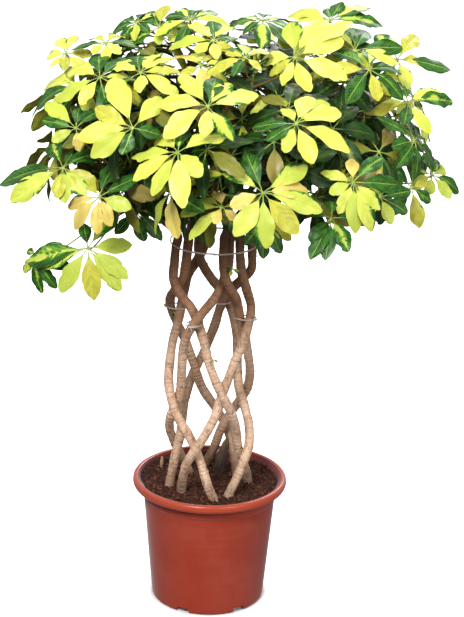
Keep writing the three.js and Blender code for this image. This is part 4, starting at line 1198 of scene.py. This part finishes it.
def build_withered_leaf():
    """A dark dry leaf, folded along its rib and curled, stuck upright in the soil."""
    t = np.linspace(0, 1, 26)[:, None]
    s = np.linspace(-1, 1, 13)[None, :]
    z = -9 + 71 * t
    x = s * 9.2 * np.sin(math.pi * np.clip(t, 0.02, 0.985) ** 0.85) ** 0.8
    x = x * (1 + 0.08 * np.sin(19 * t + 3 * s))
    y = (0.0035 * np.clip(z, 0, None) ** 2 + 0.05 * x ** 2 + 0.5 * np.sin(13 * t + 2 * s) * np.abs(s)
         - 0.5 * np.exp(-(s / 0.16) ** 2))
    lean = math.radians(13)
    right, up = (math.cos(lean), math.sin(lean)), (-math.sin(lean), math.cos(lean))
    grid = np.stack([x * right[0] + z * right[1], y, x * up[0] + z * up[1]], axis=2)
    grid = grid + np.array([12, 34, SOIL_LEVEL])
    builder = Builder("along", "across")
    builder.add(*slab(grid, 0.6), along=on_slab(t, grid), across=on_slab(s, grid))
    builder.make("withered_leaf", [WITHERED], sharp=60, nodes=["dry_leaf"])


# ---------------- the set
def build_floor():
    """A pale round sweep. It glows and throws no light at the plant, and is dark under the pot."""
    faces = [tuple(range(SWEEP_SIDES))]
    for i in range(len(SWEEP) - 1):
        for k in range(SWEEP_SIDES):
            a, b = SWEEP_SIDES * i + k, SWEEP_SIDES * i + (k + 1) % SWEEP_SIDES
            faces.append((a, b, b + SWEEP_SIDES, a + SWEEP_SIDES))
    mesh = bpy.data.meshes.new("floor")
    verts = [(r * math.cos(t), r * math.sin(t), z) for r, z in SWEEP for t in angles(SWEEP_SIDES)]
    mesh.from_pydata(verts, [], faces)
    s = Shader("pale_floor")
    glow = s.length(s.place).step(0.088, 0.098, 0, FLOOR_GLOW)
    mesh.materials.append(s.finish((250, 250, 250), 0.9, Emission_Color=(1, 1, 1, 1), Emission_Strength=glow))
    floor = put("floor", mesh)
    floor.visible_diffuse = floor.visible_glossy = False
    floor.visible_transmission = floor.visible_shadow = False


def build_world(scene):
    """White light all round, weaker from below."""
    world = scene.world or bpy.data.worlds.new("studio")
    scene.world = world
    world.use_nodes = True
    nodes, links = world.node_tree.nodes, world.node_tree.links
    sky = nodes["Background"]
    sky.inputs["Color"].default_value = (1, 1, 1, 1)
    split, fall = nodes.new("ShaderNodeSeparateXYZ"), nodes.new("ShaderNodeMapRange")
    links.new(nodes.new("ShaderNodeTexCoord").outputs["Generated"], split.inputs[0])
    links.new(split.outputs["Z"], fall.inputs[0])
    links.new(fall.outputs[0], sky.inputs["Strength"])
    for socket, value in enumerate((-0.35, 0.3, WORLD_BELOW, WORLD_ABOVE), 1):
        fall.inputs[socket].default_value = value


def build_lights():
    for name, (place, aim, size, power) in LIGHTS.items():
        light = bpy.data.lights.new(name, "AREA")
        light.shape, light.size, light.energy = "SQUARE", size, power
        lamp = put(name, light)
        lamp.location = place
        lamp.rotation_euler = (Vector((0, 0, aim)) - Vector(place)).to_track_quat("-Z", "Y").to_euler()


def build_camera(scene):
    camera = bpy.data.cameras.new("camera")
    camera.sensor_fit, camera.sensor_width, camera.lens = "AUTO", SENSOR, LENS
    camera.clip_start, camera.clip_end = 0.1, 60
    view = put("camera", camera)
    view.matrix_world = (Matrix.Translation(CAMERA_PLACE)
                         @ Matrix.Rotation(math.radians(90 - CAMERA_PITCH), 4, "X")
                         @ Matrix.Rotation(math.radians(CAMERA_ROLL), 4, "Z"))
    scene.camera = view


STEMS = make_stems()
build_stems(STEMS)
build_shoots(STEMS)
build_sprouts()
build_pot()
build_soil()
for tie in range(4):
    build_tie(tie)
build_band()
build_withered_leaf()

SCENE = bpy.context.scene
SCENE.view_settings.view_transform = "Standard"
build_floor()
build_world(SCENE)
build_lights()
build_camera(SCENE)
